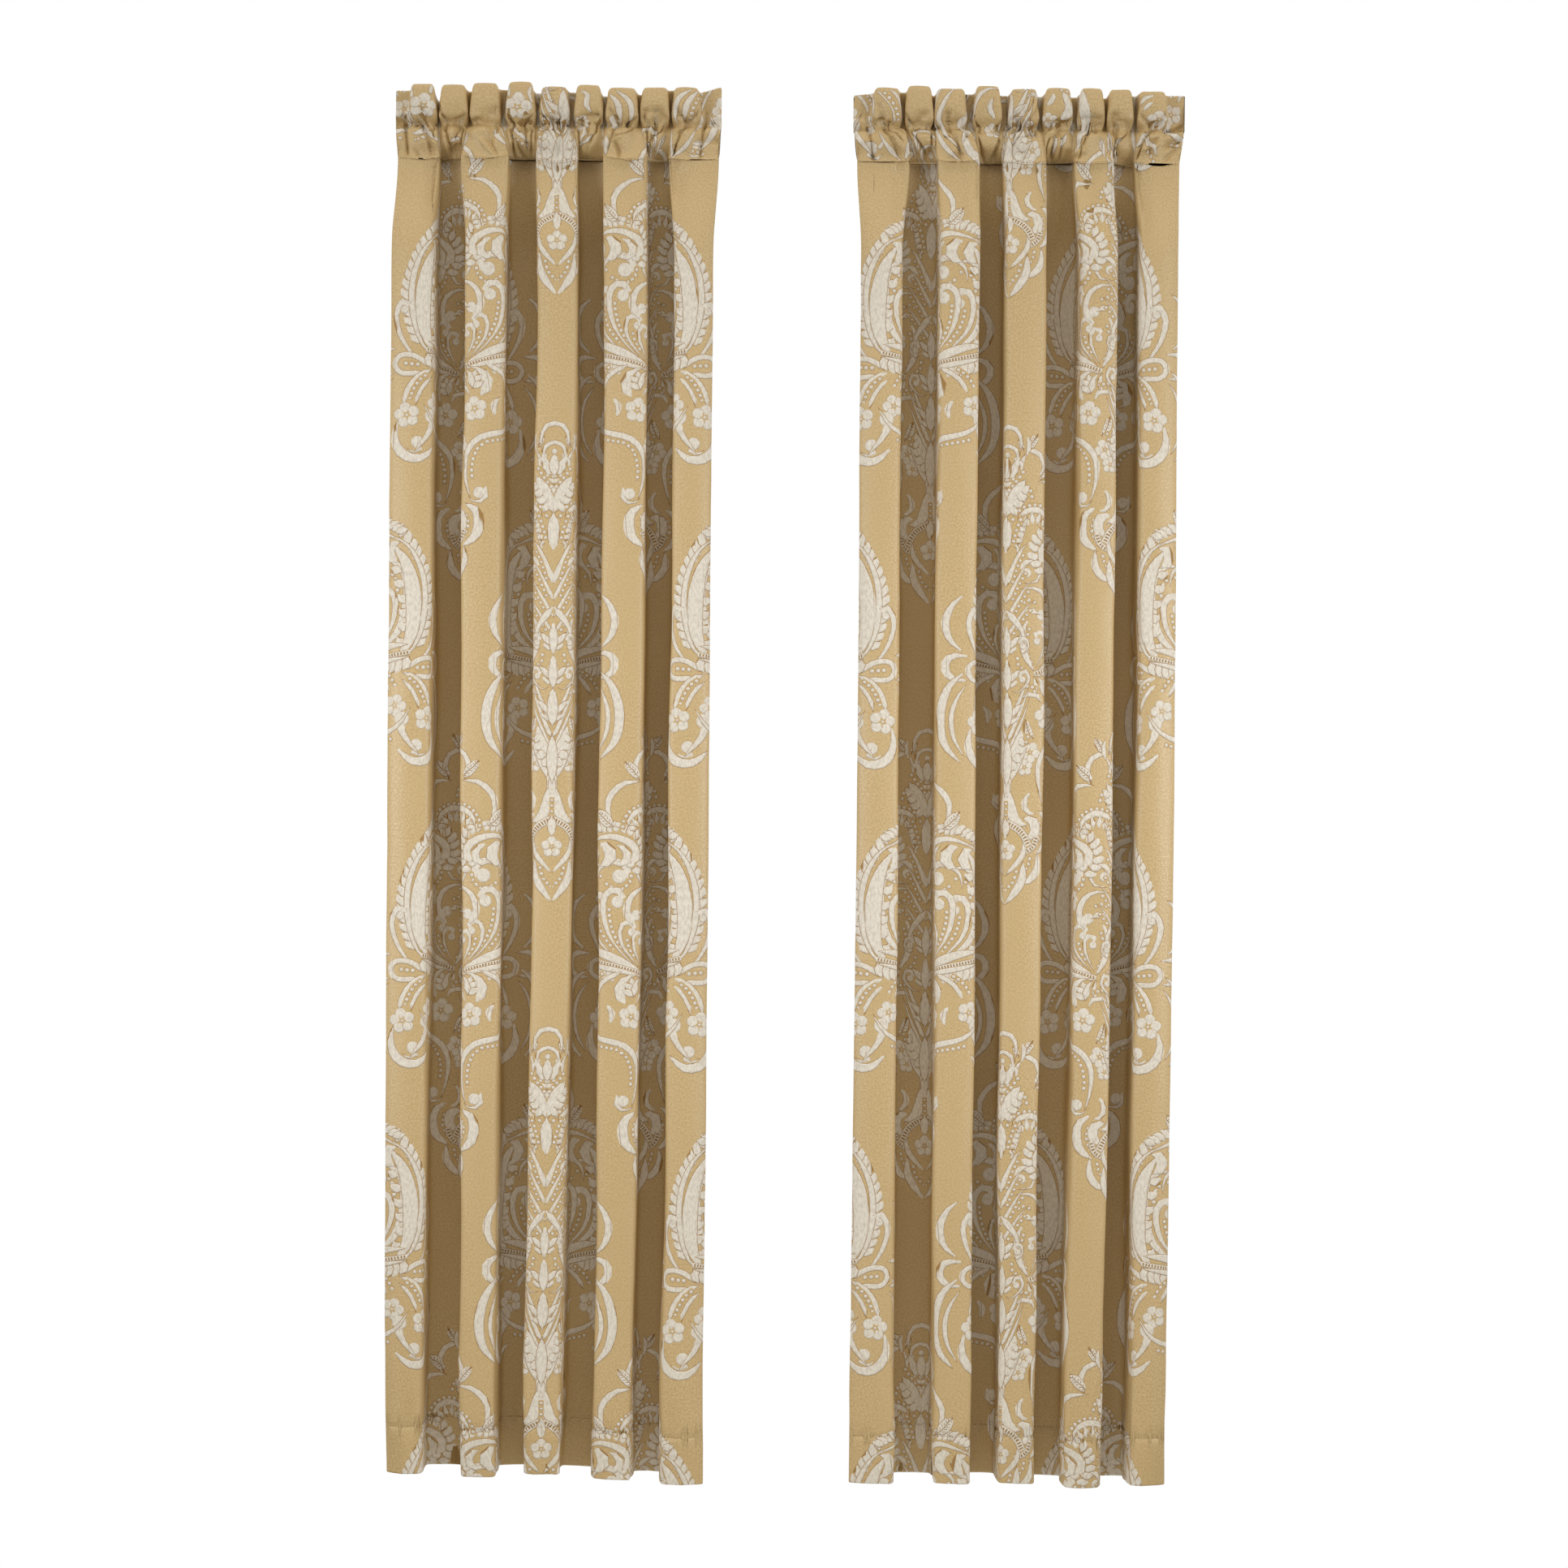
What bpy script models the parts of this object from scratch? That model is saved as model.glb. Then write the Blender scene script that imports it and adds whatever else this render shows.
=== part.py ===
"""A pair of rod-pocket curtain panels with stand-up headers, hanging in folds.

Each panel is one width of cloth. Its top is folded over and sewn along two lines, which
leaves a header that stands up over a hollow pocket for the rod. Below the lower line the
cloth hangs in five fronts and four valleys, down to the hem. The rod itself isn't built.

Frame: +X to the right, +Y away from the room, +Z up. The origin is on the rod's centre
line, midway between the panels. Sizes are in millimetres and become metres in row().
"""

import math
from dataclasses import dataclass

import bmesh
import bpy
from mathutils import Vector

MM = 0.001

# Heights above the rod's centre line
HEADER_MIDDLE_Z = 54.0
UPPER_STITCH_Z = 26.0
LOWER_STITCH_Z = -26.0
STITCH_TO_PANEL = 0.4  # clearance between the heading and the panel below it
FULL_FOLD_Z = -175.0  # where the gathers have opened into full folds
MIDDLE_Z = -1010.0  # where the fold widths of the table are taken

# Depths, in plan
FOLD_DEPTH = 78.0  # from a front to a valley, at full fold
VALLEY_STITCH_Y = 15.0  # the valleys, at the lower stitches
LOOP_FRONT_Y = -22.0  # the header's loops, at their front
LOOP_BACK_Y = 16.0
LOOP_STEP = 5.0  # how much lower the header's edge is between loops and at its ends
LOOP_SHOULDER = 1.5  # how much lower it is at a loop's corners
PINCH = 0.55  # share of the loops' depth that is left at the upper stitches
FOLD_CORNER = 13.0  # radius of a fold's corner
STITCH_CORNER = 7.0
LOOP_CORNER = 9.0
EDGE_CURL = 9.0  # how far a side edge turns back

# The rod pocket, at its middle height
POCKET_FRONT_Y = -20.0
POCKET_BACK_Y = 19.0
POCKET_PUFF = 4.5  # how far the pocket's front stands out under a loop
POCKET_SHOULDER_Z = 15.0
POCKET_END_Z = 21.5  # the hollow's highest and lowest line
SHOULDER = 0.86  # share of the pocket's depth at its shoulders

CLOTH = 2.0  # thickness of one layer
DOUBLE = 3.0  # two layers sewn together

ARC = [(1 - math.cos(turn), 1 - math.sin(turn)) for turn in (math.radians(22.5), math.radians(67.5))]


@dataclass(frozen=True)
class Fold:
    """One front or valley, and the header's loop over it.

    middle and hem are its widths at those heights, loop is the width of the loop over it,
    space is the slot between that loop and the next, rise is how far that loop stands above
    the panel's mean, sewn is how far its lower stitches lie in front of the valleys', and
    drop is how much lower the hem hangs there than at the panel's mean.
    """

    middle: float
    hem: float
    loop: float
    space: float
    rise: float
    sewn: float
    drop: float


@dataclass(frozen=True)
class Panel:
    """One panel: where its left edge is at three heights, its length and its folds in order.

    The folds start and end with a front. left_end and right_end are the flat lengths of
    header outside its first and last loop.
    """

    side: str
    header_x: float
    middle_x: float
    hem_x: float
    left_end: float
    right_end: float
    header_z: float
    hem_z: float
    folds: tuple


LEFT = Panel(
    side="left",
    header_x=-601.0,
    middle_x=-602.5,
    hem_x=-599.0,
    left_end=24.0,
    right_end=34.0,
    header_z=84.0,
    hem_z=-2050.0,
    folds=(
        Fold(middle=66, hem=56, loop=31, space=15.0, rise=1.0, sewn=24, drop=-4.5),
        Fold(middle=47, hem=63, loop=40, space=8.0, rise=0.0, sewn=0, drop=-2.5),
        Fold(middle=61, hem=50, loop=42, space=12.5, rise=3.0, sewn=40, drop=-0.5),
        Fold(middle=49, hem=45, loop=41, space=11.0, rise=5.0, sewn=1, drop=-3.5),
        Fold(middle=62, hem=54, loop=41, space=14.0, rise=-2.0, sewn=27, drop=-6.5),
        Fold(middle=41, hem=52, loop=36, space=11.0, rise=1.0, sewn=0, drop=-2.0),
        Fold(middle=65, hem=58, loop=45, space=8.0, rise=-3.0, sewn=40, drop=2.5),
        Fold(middle=42, hem=44, loop=40, space=9.0, rise=-2.0, sewn=2, drop=5.5),
        Fold(middle=60, hem=66, loop=39, space=0.0, rise=-1.5, sewn=30, drop=9.0),
    ),
)

RIGHT = Panel(
    side="right",
    header_x=104.0,
    middle_x=116.5,
    hem_x=112.5,
    left_end=31.0,
    right_end=31.0,
    header_z=85.0,
    hem_z=-2055.0,
    folds=(
        Fold(middle=63, hem=67, loop=40, space=10.0, rise=-0.5, sewn=25, drop=-0.5),
        Fold(middle=57, hem=61, loop=39, space=6.0, rise=2.5, sewn=1, drop=-1.0),
        Fold(middle=61, hem=58, loop=45, space=15.0, rise=-1.0, sewn=38, drop=-1.5),
        Fold(middle=41, hem=42, loop=39, space=15.0, rise=3.5, sewn=0, drop=-1.5),
        Fold(middle=62, hem=54, loop=42, space=11.0, rise=-1.0, sewn=32, drop=-2.0),
        Fold(middle=51, hem=46, loop=41, space=12.5, rise=1.0, sewn=2, drop=1.5),
        Fold(middle=57, hem=57, loop=37, space=8.0, rise=1.0, sewn=36, drop=4.5),
        Fold(middle=37, hem=42, loop=36, space=11.0, rise=-0.5, sewn=0, drop=1.5),
        Fold(middle=57, hem=57, loop=41, space=0.0, rise=-3.0, sewn=26, drop=-1.0),
    ),
)

MATERIALS = {
    "panel_cloth": {"colour": (0.50, 0.33, 0.13, 1.0), "roughness": 0.55},
    "heading_cloth": {"colour": (0.53, 0.35, 0.14, 1.0), "roughness": 0.45},
}


def smooth_step(share):
    """0 below 0, 1 above 1 and a soft change between."""
    share = min(max(share, 0.0), 1.0)
    return share * share * (3 - 2 * share)


def mix(first, second, share):
    """Two plans of the same columns, mixed point by point."""
    return [a.lerp(b, share) for a, b in zip(first, second)]


def spans(left, widths, spaces):
    """(left, right) of each width in turn, with its space after it."""
    found = []
    for wide, space in zip(widths, spaces):
        found.append((left, left + wide))
        left += wide + space
    return found


def corner(x, y, inward, towards, radius):
    """Two points of a rounded corner at (x, y), from the flank to the flat.

    inward is +1 or -1 along X, into the flat, and towards is the same along Y, to the flank.
    """
    return [Vector((x + inward * radius * dx, y + towards * radius * dy)) for dx, dy in ARC]


def flat_run(start, end, y, count):
    """Points evenly inside a flat stretch, not at its ends."""
    return [Vector((start + (end - start) * (i + 1) / (count + 1), y)) for i in range(count)]


def box_wave(lanes, depths, radius):
    """Plan of the body: lanes in turn at the front and the back, each at its own depth, with flanks between."""
    points = []
    for index, (left, right) in enumerate(lanes):
        y = depths[index]
        towards = 1.0 if index % 2 == 0 else -1.0
        middle = Vector(((left + right) / 2, y - towards))
        into = corner(left, y, 1, towards, radius)
        out = corner(right, y, -1, towards, radius)[::-1]
        if index == 0:
            points += [Vector((left, y + EDGE_CURL)), Vector((left + EDGE_CURL, y + 1))]
            into = flat_run(left + EDGE_CURL, middle.x, y, 2)
        if index == len(lanes) - 1:
            out = flat_run(middle.x, right - EDGE_CURL, y, 2)
        if index > 0:
            points += flank(points[-1], into[0])
        points += [*into, middle, *out]
    y, right = depths[-1], lanes[-1][1]
    points += [Vector((right - EDGE_CURL, y + 1)), Vector((right, y + EDGE_CURL))]
    return points


def flank(start, end):
    """The two points between a front's corner and a valley's."""
    return [start.lerp(end, 1 / 3), start.lerp(end, 2 / 3)]


def loop_wave(panel, lanes, share):
    """Plan of the header: every lane is a loop at the front, with a turn at the back between loops.

    share is how much of the loops' depth is there. The flat ends lie on the middle line.
    """
    front_y, back_y = LOOP_FRONT_Y * share, LOOP_BACK_Y * share
    edges = (panel.header_x, lanes[-1][1] + panel.right_end)
    points = [Vector((edges[0], 0.0)), Vector((edges[0] + panel.left_end * 0.6, 1.0))]
    for index, (left, right) in enumerate(lanes):
        if index > 0:
            middle = (lanes[index - 1][1] + left) / 2
            half = (left - lanes[index - 1][1]) / 2 + 2 * share
            points += [Vector((middle - half, back_y)), Vector((middle + half, back_y))]
        points += corner(left, front_y, 1, 1, LOOP_CORNER)
        points.append(Vector(((left + right) / 2, front_y - 1)))
        points += corner(right, front_y, -1, 1, LOOP_CORNER)[::-1]
    points += [Vector((edges[1] - panel.right_end * 0.6, 1.0)), Vector((edges[1], 0.0))]
    return points


def pocket_wave(panel, lanes, base_y, puff):
    """Plan of one wall of the pocket: a soft wave, out by puff under each loop."""
    edges = (panel.header_x, lanes[-1][1] + panel.right_end)
    points = [Vector((edges[0], base_y)), Vector((edges[0] + panel.left_end * 0.6, base_y))]
    for index, (left, right) in enumerate(lanes):
        if index > 0:
            start = lanes[index - 1][1]
            points += flat_run(start, left, base_y, 2)
        for step in range(5):
            share = step / 4
            rise = math.sin(math.pi * (0.1 + 0.8 * share))
            points.append(Vector((left + (right - left) * share, base_y + puff * rise)))
    points += [Vector((edges[1] - panel.right_end * 0.6, base_y)), Vector((edges[1], base_y))]
    return points


def header_lanes(panel):
    """(left, right) of each of the header's loops."""
    folds = panel.folds
    return spans(panel.header_x + panel.left_end, [f.loop for f in folds], [f.space for f in folds])


def stitch_plan(panel):
    """The lower line of stitches: small folds, each as wide as its loop and half the slots beside it."""
    lanes = header_lanes(panel)
    middles = [(a[1] + b[0]) / 2 for a, b in zip(lanes, lanes[1:])]
    bounds = [panel.header_x, *middles, lanes[-1][1] + panel.right_end]
    depths = [VALLEY_STITCH_Y - fold.sewn for fold in panel.folds]
    return box_wave(list(zip(bounds, bounds[1:])), depths, STITCH_CORNER)


def fold_plan(panel, z):
    """The hanging cloth at this height, in full folds."""
    share = min(max((z - MIDDLE_Z) / (panel.hem_z - MIDDLE_Z), 0.0), 1.0)
    left = panel.middle_x + (panel.hem_x - panel.middle_x) * share
    widths = [f.middle + (f.hem - f.middle) * share for f in panel.folds]
    depths = [FOLD_DEPTH * (-0.5 if index % 2 == 0 else 0.5) for index in range(len(widths))]
    return box_wave(spans(left, widths, [0.0] * len(widths)), depths, FOLD_CORNER)


def hem_line(panel):
    """The hem's height at each column of a plan."""
    lows = [panel.hem_z - fold.drop for fold in panel.folds]
    heights = [lows[0], lows[0]]
    for index, low in enumerate(lows):
        if index > 0:
            heights += [lows[index - 1] + (low - lows[index - 1]) * share for share in (1 / 3, 2 / 3)]
        heights += [low] * 5
    return [*heights, lows[-1], lows[-1]]


def header_line(panel):
    """The header's top edge at each column of a plan: higher over each loop."""
    low = panel.header_z - LOOP_STEP
    heights = [low, low]
    for index, fold in enumerate(panel.folds):
        if index > 0:
            heights += [low, low]
        top = panel.header_z + fold.rise
        shoulder = top - LOOP_SHOULDER
        heights += [shoulder, top, top, top, shoulder]
    return [*heights, low, low]


def row(plan, heights):
    """A plan at a height, or at a height for each of its points, as points in metres."""
    if isinstance(heights, float):
        heights = [heights] * len(plan)
    return [Vector((point.x, point.y, z)) * MM for point, z in zip(plan, heights)]


def offset(plan, distance):
    """A plan moved sideways by distance, to the front where it runs to the right."""
    moved = []
    for index, point in enumerate(plan):
        if index in (0, len(plan) - 1):
            outward = Vector((0.0, -1.0))
        else:
            along = plan[index + 1] - plan[index - 1]
            outward = Vector((along.y, -along.x)).normalized()
        moved.append(point + outward * distance)
    return moved


def skin(bm, rows, closed=False):
    """A sheet through rows of points, which all have as many columns. Returns its faces."""
    columns, count = len(rows[0]), len(rows) + (1 if closed else 0)
    grid = bmesh.ops.create_grid(bm, x_segments=columns - 1, y_segments=count - 1, size=0.5)
    for vertex in grid["verts"]:
        column = round((vertex.co.x + 0.5) * (columns - 1))
        row = round((vertex.co.y + 0.5) * (count - 1)) % len(rows)
        vertex.co = rows[row][column]
    faces = {face for vertex in grid["verts"] for face in vertex.link_faces}
    if closed:
        bmesh.ops.remove_doubles(bm, verts=grid["verts"], dist=1e-7)
    return [face for face in faces if face.is_valid]


def add_object(name, bm, material, collection):
    """Makes the mesh an object in the collection, in the named material."""
    mesh = bpy.data.meshes.new(name)
    bm.to_mesh(mesh)
    bm.free()
    mesh.materials.append(material)
    made = bpy.data.objects.new(name, mesh)
    collection.objects.link(made)
    return made


def make_panel(panel, material, collection):
    """The hanging cloth, from the lower stitches to the hem."""
    top = LOWER_STITCH_Z - STITCH_TO_PANEL
    below = top - 6
    heights = [top, below, -65.0, -115.0, FULL_FOLD_Z, MIDDLE_Z, (MIDDLE_Z + panel.hem_z) / 2]
    gathered = stitch_plan(panel)
    rows = []
    for z in heights:
        opened = smooth_step((below - z) / (below - FULL_FOLD_Z))
        rows.append(row(mix(gathered, fold_plan(panel, z), opened), z))
    rows.append(row(fold_plan(panel, panel.hem_z), hem_line(panel)))
    bm = bmesh.new()
    skin(bm, rows)
    bmesh.ops.recalc_face_normals(bm, faces=bm.faces)
    made = add_object(f"{panel.side}_panel", bm, material, collection)
    wall = made.modifiers.new("cloth", "SOLIDIFY")
    wall.thickness = CLOTH * MM
    wall.offset = 0.0
    wall.use_even_offset = True
    return made


def heading_rows(panel):
    """(outer, inner) rows of the heading: its profile's lines, in order round the section."""
    lanes = header_lanes(panel)
    loops = loop_wave(panel, lanes, 1.0)
    pinched = loop_wave(panel, lanes, PINCH)
    sewn = stitch_plan(panel)
    sewn[0].y, sewn[-1].y = sewn[1].y, sewn[-2].y
    front = pocket_wave(panel, lanes, POCKET_FRONT_Y, -POCKET_PUFF)
    back = pocket_wave(panel, lanes, POCKET_BACK_Y, POCKET_PUFF / 2)
    front_edge = pocket_wave(panel, lanes, POCKET_FRONT_Y * SHOULDER, -POCKET_PUFF)
    back_edge = pocket_wave(panel, lanes, POCKET_BACK_Y * SHOULDER, POCKET_PUFF / 2)
    wall, sheet = CLOTH / 2, DOUBLE / 2
    outer = [
        (offset(sewn, sheet), LOWER_STITCH_Z),
        (offset(front_edge, wall), -POCKET_SHOULDER_Z),
        (offset(front, wall), 0.0),
        (offset(front_edge, wall), POCKET_SHOULDER_Z),
        (offset(pinched, sheet), UPPER_STITCH_Z),
        (offset(loops, sheet), HEADER_MIDDLE_Z),
        (offset(loops, sheet), header_line(panel)),
        (offset(loops, -sheet), header_line(panel)),
        (offset(loops, -sheet), HEADER_MIDDLE_Z),
        (offset(pinched, -sheet), UPPER_STITCH_Z),
        (offset(back_edge, -wall), POCKET_SHOULDER_Z),
        (offset(back, -wall), 0.0),
        (offset(back_edge, -wall), -POCKET_SHOULDER_Z),
        (offset(sewn, -sheet), LOWER_STITCH_Z),
    ]
    inner_shoulder = POCKET_SHOULDER_Z - wall
    inner = [
        (sewn, -POCKET_END_Z),
        (offset(front_edge, -wall), -inner_shoulder),
        (offset(front, -wall), 0.0),
        (offset(front_edge, -wall), inner_shoulder),
        (pinched, POCKET_END_Z),
        (offset(back_edge, wall), inner_shoulder),
        (offset(back, wall), 0.0),
        (offset(back_edge, wall), -inner_shoulder),
    ]
    return [row(*line) for line in outer], [row(*line) for line in inner]


def make_heading(panel, material, collection):
    """The header and the rod pocket: an outer skin, a hollow along it, and a rim at each end."""
    outer, inner = heading_rows(panel)
    bm = bmesh.new()
    skin(bm, outer, closed=True)
    skin(bm, inner, closed=True)
    open_edges = [edge for edge in bm.edges if edge.is_boundary]
    for end in (min, max):
        end_x = end(edge.verts[0].co.x for edge in open_edges)
        rim = [edge for edge in open_edges if abs(edge.verts[0].co.x - end_x) < MM]
        bmesh.ops.triangle_fill(bm, edges=rim, use_beauty=True)
    bmesh.ops.recalc_face_normals(bm, faces=bm.faces)
    return add_object(f"{panel.side}_heading", bm, material, collection)


def make_material(name, colour, roughness):
    """A plain cloth material."""
    material = bpy.data.materials.new(name)
    material.use_nodes = True
    shader = material.node_tree.nodes["Principled BSDF"]
    shader.inputs["Base Color"].default_value = colour
    shader.inputs["Roughness"].default_value = roughness
    shader.inputs["Metallic"].default_value = 0.0
    return material


def main():
    for old in list(bpy.data.objects):
        bpy.data.objects.remove(old)
    collection = bpy.data.collections.new("curtain_pair")
    bpy.context.scene.collection.children.link(collection)
    cloth = {name: make_material(name, **values) for name, values in MATERIALS.items()}
    for panel in (LEFT, RIGHT):
        make_panel(panel, cloth["panel_cloth"], collection)
        make_heading(panel, cloth["heading_cloth"], collection)


main()
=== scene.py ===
"""Pair of rod-pocket curtain panels in a two-colour woven damask, hung in their folds.

The cloth is drawn flat first: the woven figures are strokes with a centre line and a width,
and they are cut into one triangle mesh with the cloth's fold lines. The flat cloth is then
laid on a hung surface, which follows the folds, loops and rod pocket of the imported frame.
Sizes are in millimetres and become metres where a mesh is made.
"""

import logging
import math
from collections.abc import Iterable, Sequence
from dataclasses import dataclass, field, replace
from enum import Enum

import bmesh
import bpy
import numpy as np
from mathutils import Matrix, Vector
from mathutils.geometry import delaunay_2d_cdt

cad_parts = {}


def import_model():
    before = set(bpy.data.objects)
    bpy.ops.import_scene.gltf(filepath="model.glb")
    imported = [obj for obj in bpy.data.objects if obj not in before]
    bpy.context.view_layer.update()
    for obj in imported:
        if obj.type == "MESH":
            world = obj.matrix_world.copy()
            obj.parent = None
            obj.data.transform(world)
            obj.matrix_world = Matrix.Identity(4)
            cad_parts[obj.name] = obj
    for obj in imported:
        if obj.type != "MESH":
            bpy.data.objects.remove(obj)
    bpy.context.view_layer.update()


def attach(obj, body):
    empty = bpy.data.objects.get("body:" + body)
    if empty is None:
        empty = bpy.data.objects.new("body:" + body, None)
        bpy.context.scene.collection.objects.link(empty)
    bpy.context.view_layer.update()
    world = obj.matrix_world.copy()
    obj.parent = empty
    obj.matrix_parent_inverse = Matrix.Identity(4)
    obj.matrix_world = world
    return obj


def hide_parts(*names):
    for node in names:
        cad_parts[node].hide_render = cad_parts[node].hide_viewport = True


LOG = logging.getLogger("curtains")

MM = 0.001
BODY = "root"

# Heights above the rod's centre line, as in the frame
UPPER_STITCH_Z = 26.0
LOWER_STITCH_Z = -27.5
SEAM_ALLOWANCE = 3.0  # of the panel's cloth, between the walls of the heading
FULL_FOLD_Z = -175.0  # from here down the folds have their full depth
MIDDLE_Z = -1010.0

# Depths, in plan
FOLD_DEPTH = 78.0
VALLEY_STITCH_Y = 15.0
LOOP_FRONT_Y = -22.0
LOOP_BACK_Y = 16.0
LOOP_STEP = 5.0  # how far a loop stands above the slots beside it
END_TUCK = 18.0  # cloth between the heading's flat ends and the loops beside them
PINCH = 0.36  # share of a loop's depth that is left at the upper stitches
STITCH_DIP = 4.5  # how much the lower stitches sag under a front
EDGE_CURL = 9.0  # how far a panel's side edges curl back

# The cloth
CLOTH_WIDTH = 1050.0  # finished, with its side hems turned
CLOTH_THICK = 1.0
SIDE_HEM = 25.0
BOTTOM_HEM = 75.0
SIDE_TURN = 1.9  # radius of the turn at a side edge
BOTTOM_TURN = 2.4  # radius of the turn at the bottom, round the side hem
HEM_LEAN = 0.12  # how far the fronts lean back below the hem's stitches, for each millimetre down
HEADER_EDGE = 90.0  # flat distance at which the header folds over
SEWN_GAP = 0.8  # from the panel's cloth to each wall of the heading, at the lower stitches
STITCH_ROWS = (31.0, -25.5, 149.0, 204.5)  # on the flat heading: two rows in front, two behind

# The damask
PLAIN_TOP_Z = -125.0  # the outer fronts carry no figures above this
REVERSE_AREA = 420.0  # the smallest figure that shows on the reverse
LOOP_PATCH = (19.0, 58.0)  # half the width and height of what is drawn loop by loop
LOOP_PATCH_Z = 33.0  # and its middle

FloatGrid = np.ndarray
Pair = tuple[float, float]  # a point on the flat cloth, or the two ends of a span
Box = tuple[float, float, float, float]
Colour = tuple[float, float, float, float]


def ease(share: FloatGrid | float) -> FloatGrid:
    """A soft step: 0 below 0, 1 above 1."""
    share = np.clip(share, 0.0, 1.0)
    return share * share * (3 - 2 * share)


def bell(distance: FloatGrid, spread: float) -> FloatGrid:
    """A soft bump, 1 in its middle, spread wide to each side."""
    return np.exp(-0.5 * (distance / spread) ** 2)


def soften(values: FloatGrid, spread: float) -> FloatGrid:
    """Rounds the corners of a line that is sampled every millimetre.

    Args:
        values: the samples, along the first axis.
        spread: how far the rounding reaches, in millimetres.

    Returns:
        As many samples, with the ends kept in line.
    """
    reach = int(3 * spread) + 1
    kernel = bell(np.arange(-reach, reach + 1), spread)
    kernel /= kernel.sum()
    before = 2 * values[0] - values[reach:0:-1]
    after = 2 * values[-1] - values[-2 : -reach - 2 : -1]
    return np.convolve(np.concatenate([before, values, after]), kernel, "valid")


def smooth_noise(shape: tuple[int, int], spread: Pair, seed: int) -> FloatGrid:
    """Even, soft unevenness over a grid, from about -1 to 1.

    Args:
        shape: rows and columns of the grid.
        spread: how many rows and columns one bump covers.
        seed: fixes the result.

    Returns:
        The grid.
    """
    rng = np.random.default_rng(seed)
    coarse = (int(shape[0] / spread[0]) + 4, int(shape[1] / spread[1]) + 4)
    knots = rng.uniform(-1.0, 1.0, coarse)
    rows = np.arange(shape[0]) / spread[0] + 1
    columns = np.arange(shape[1]) / spread[1] + 1
    return cubic(cubic(knots, rows).T, columns).T


def cubic(knots: FloatGrid, at: FloatGrid) -> FloatGrid:
    """Rows of a table read between its rows, on a smooth curve through them."""
    base = np.clip(np.floor(at).astype(int), 1, len(knots) - 3)
    t = (at - base)[:, None]
    a, b, c, d = knots[base - 1], knots[base], knots[base + 1], knots[base + 2]
    return b + 0.5 * t * (c - a + t * (2 * a - 5 * b + 4 * c - d + t * (3 * (b - c) + d - a)))


# --- Folds of the frame ----------------------------------------------------------------


@dataclass(frozen=True)
class Fold:
    """One front or valley of a panel, and the header's loop over it.

    middle and hem are its widths at those heights, loop is the width of the loop over it,
    space is the slot between that loop and the next, rise is how far that loop stands above
    the panel's mean, sewn is how far its lower stitches lie in front of the valleys',
    drop is how much lower the hem hangs there than at the panel's mean, and sag is how much
    lower the header's top is in that slot than in the others.
    """

    middle: float
    hem: float
    loop: float
    space: float
    rise: float
    sewn: float
    drop: float
    sag: float = 0.0


def between(steps: FloatGrid, at: FloatGrid) -> tuple[FloatGrid, FloatGrid]:
    """The step before each place, and how far each place lies on the way to the next step."""
    place = np.clip(np.interp(at, steps, np.arange(len(steps))), 0, len(steps) - 1.001)
    index = place.astype(int)
    return index, (place - index)[:, None]


@dataclass
class Surface:
    """Cloth hung in place: a point and a normal for each step over its flat coordinates.

    across holds the flat distances of the columns, up those of the rows, and points has a
    row for each step up and a column for each step across.
    """

    across: FloatGrid
    up: FloatGrid
    points: FloatGrid
    normals: FloatGrid = field(init=False)
    sideways: FloatGrid = field(init=False)

    def __post_init__(self) -> None:
        """Works out the normals once the points are there."""
        self.refresh()

    def refresh(self) -> None:
        """Works out the normals, towards the cloth's face, and the direction across."""
        up_way, side_way = np.gradient(self.points, self.up, self.across, axis=(0, 1))
        normals = np.cross(side_way, up_way)
        self.normals = normals / np.linalg.norm(normals, axis=2, keepdims=True)
        self.sideways = side_way / np.linalg.norm(side_way, axis=2, keepdims=True)

    def push(self, depth: FloatGrid) -> None:
        """Moves every point along its normal, towards the face where depth is positive."""
        self.points = self.points + self.normals * depth[:, :, None]
        self.refresh()

    def read(self, across: FloatGrid, up: FloatGrid) -> tuple[FloatGrid, FloatGrid, FloatGrid]:
        """Points, normals and sideways directions at flat coordinates, read between the steps."""
        (i, t), (j, s) = between(self.up, up), between(self.across, across)
        found = []
        for grid in (self.points, self.normals, self.sideways):
            low = grid[i, j] * (1 - s) + grid[i, j + 1] * s
            high = grid[i + 1, j] * (1 - s) + grid[i + 1, j + 1] * s
            found.append(low * (1 - t) + high * t)
        return found[0], found[1], found[2]


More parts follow.
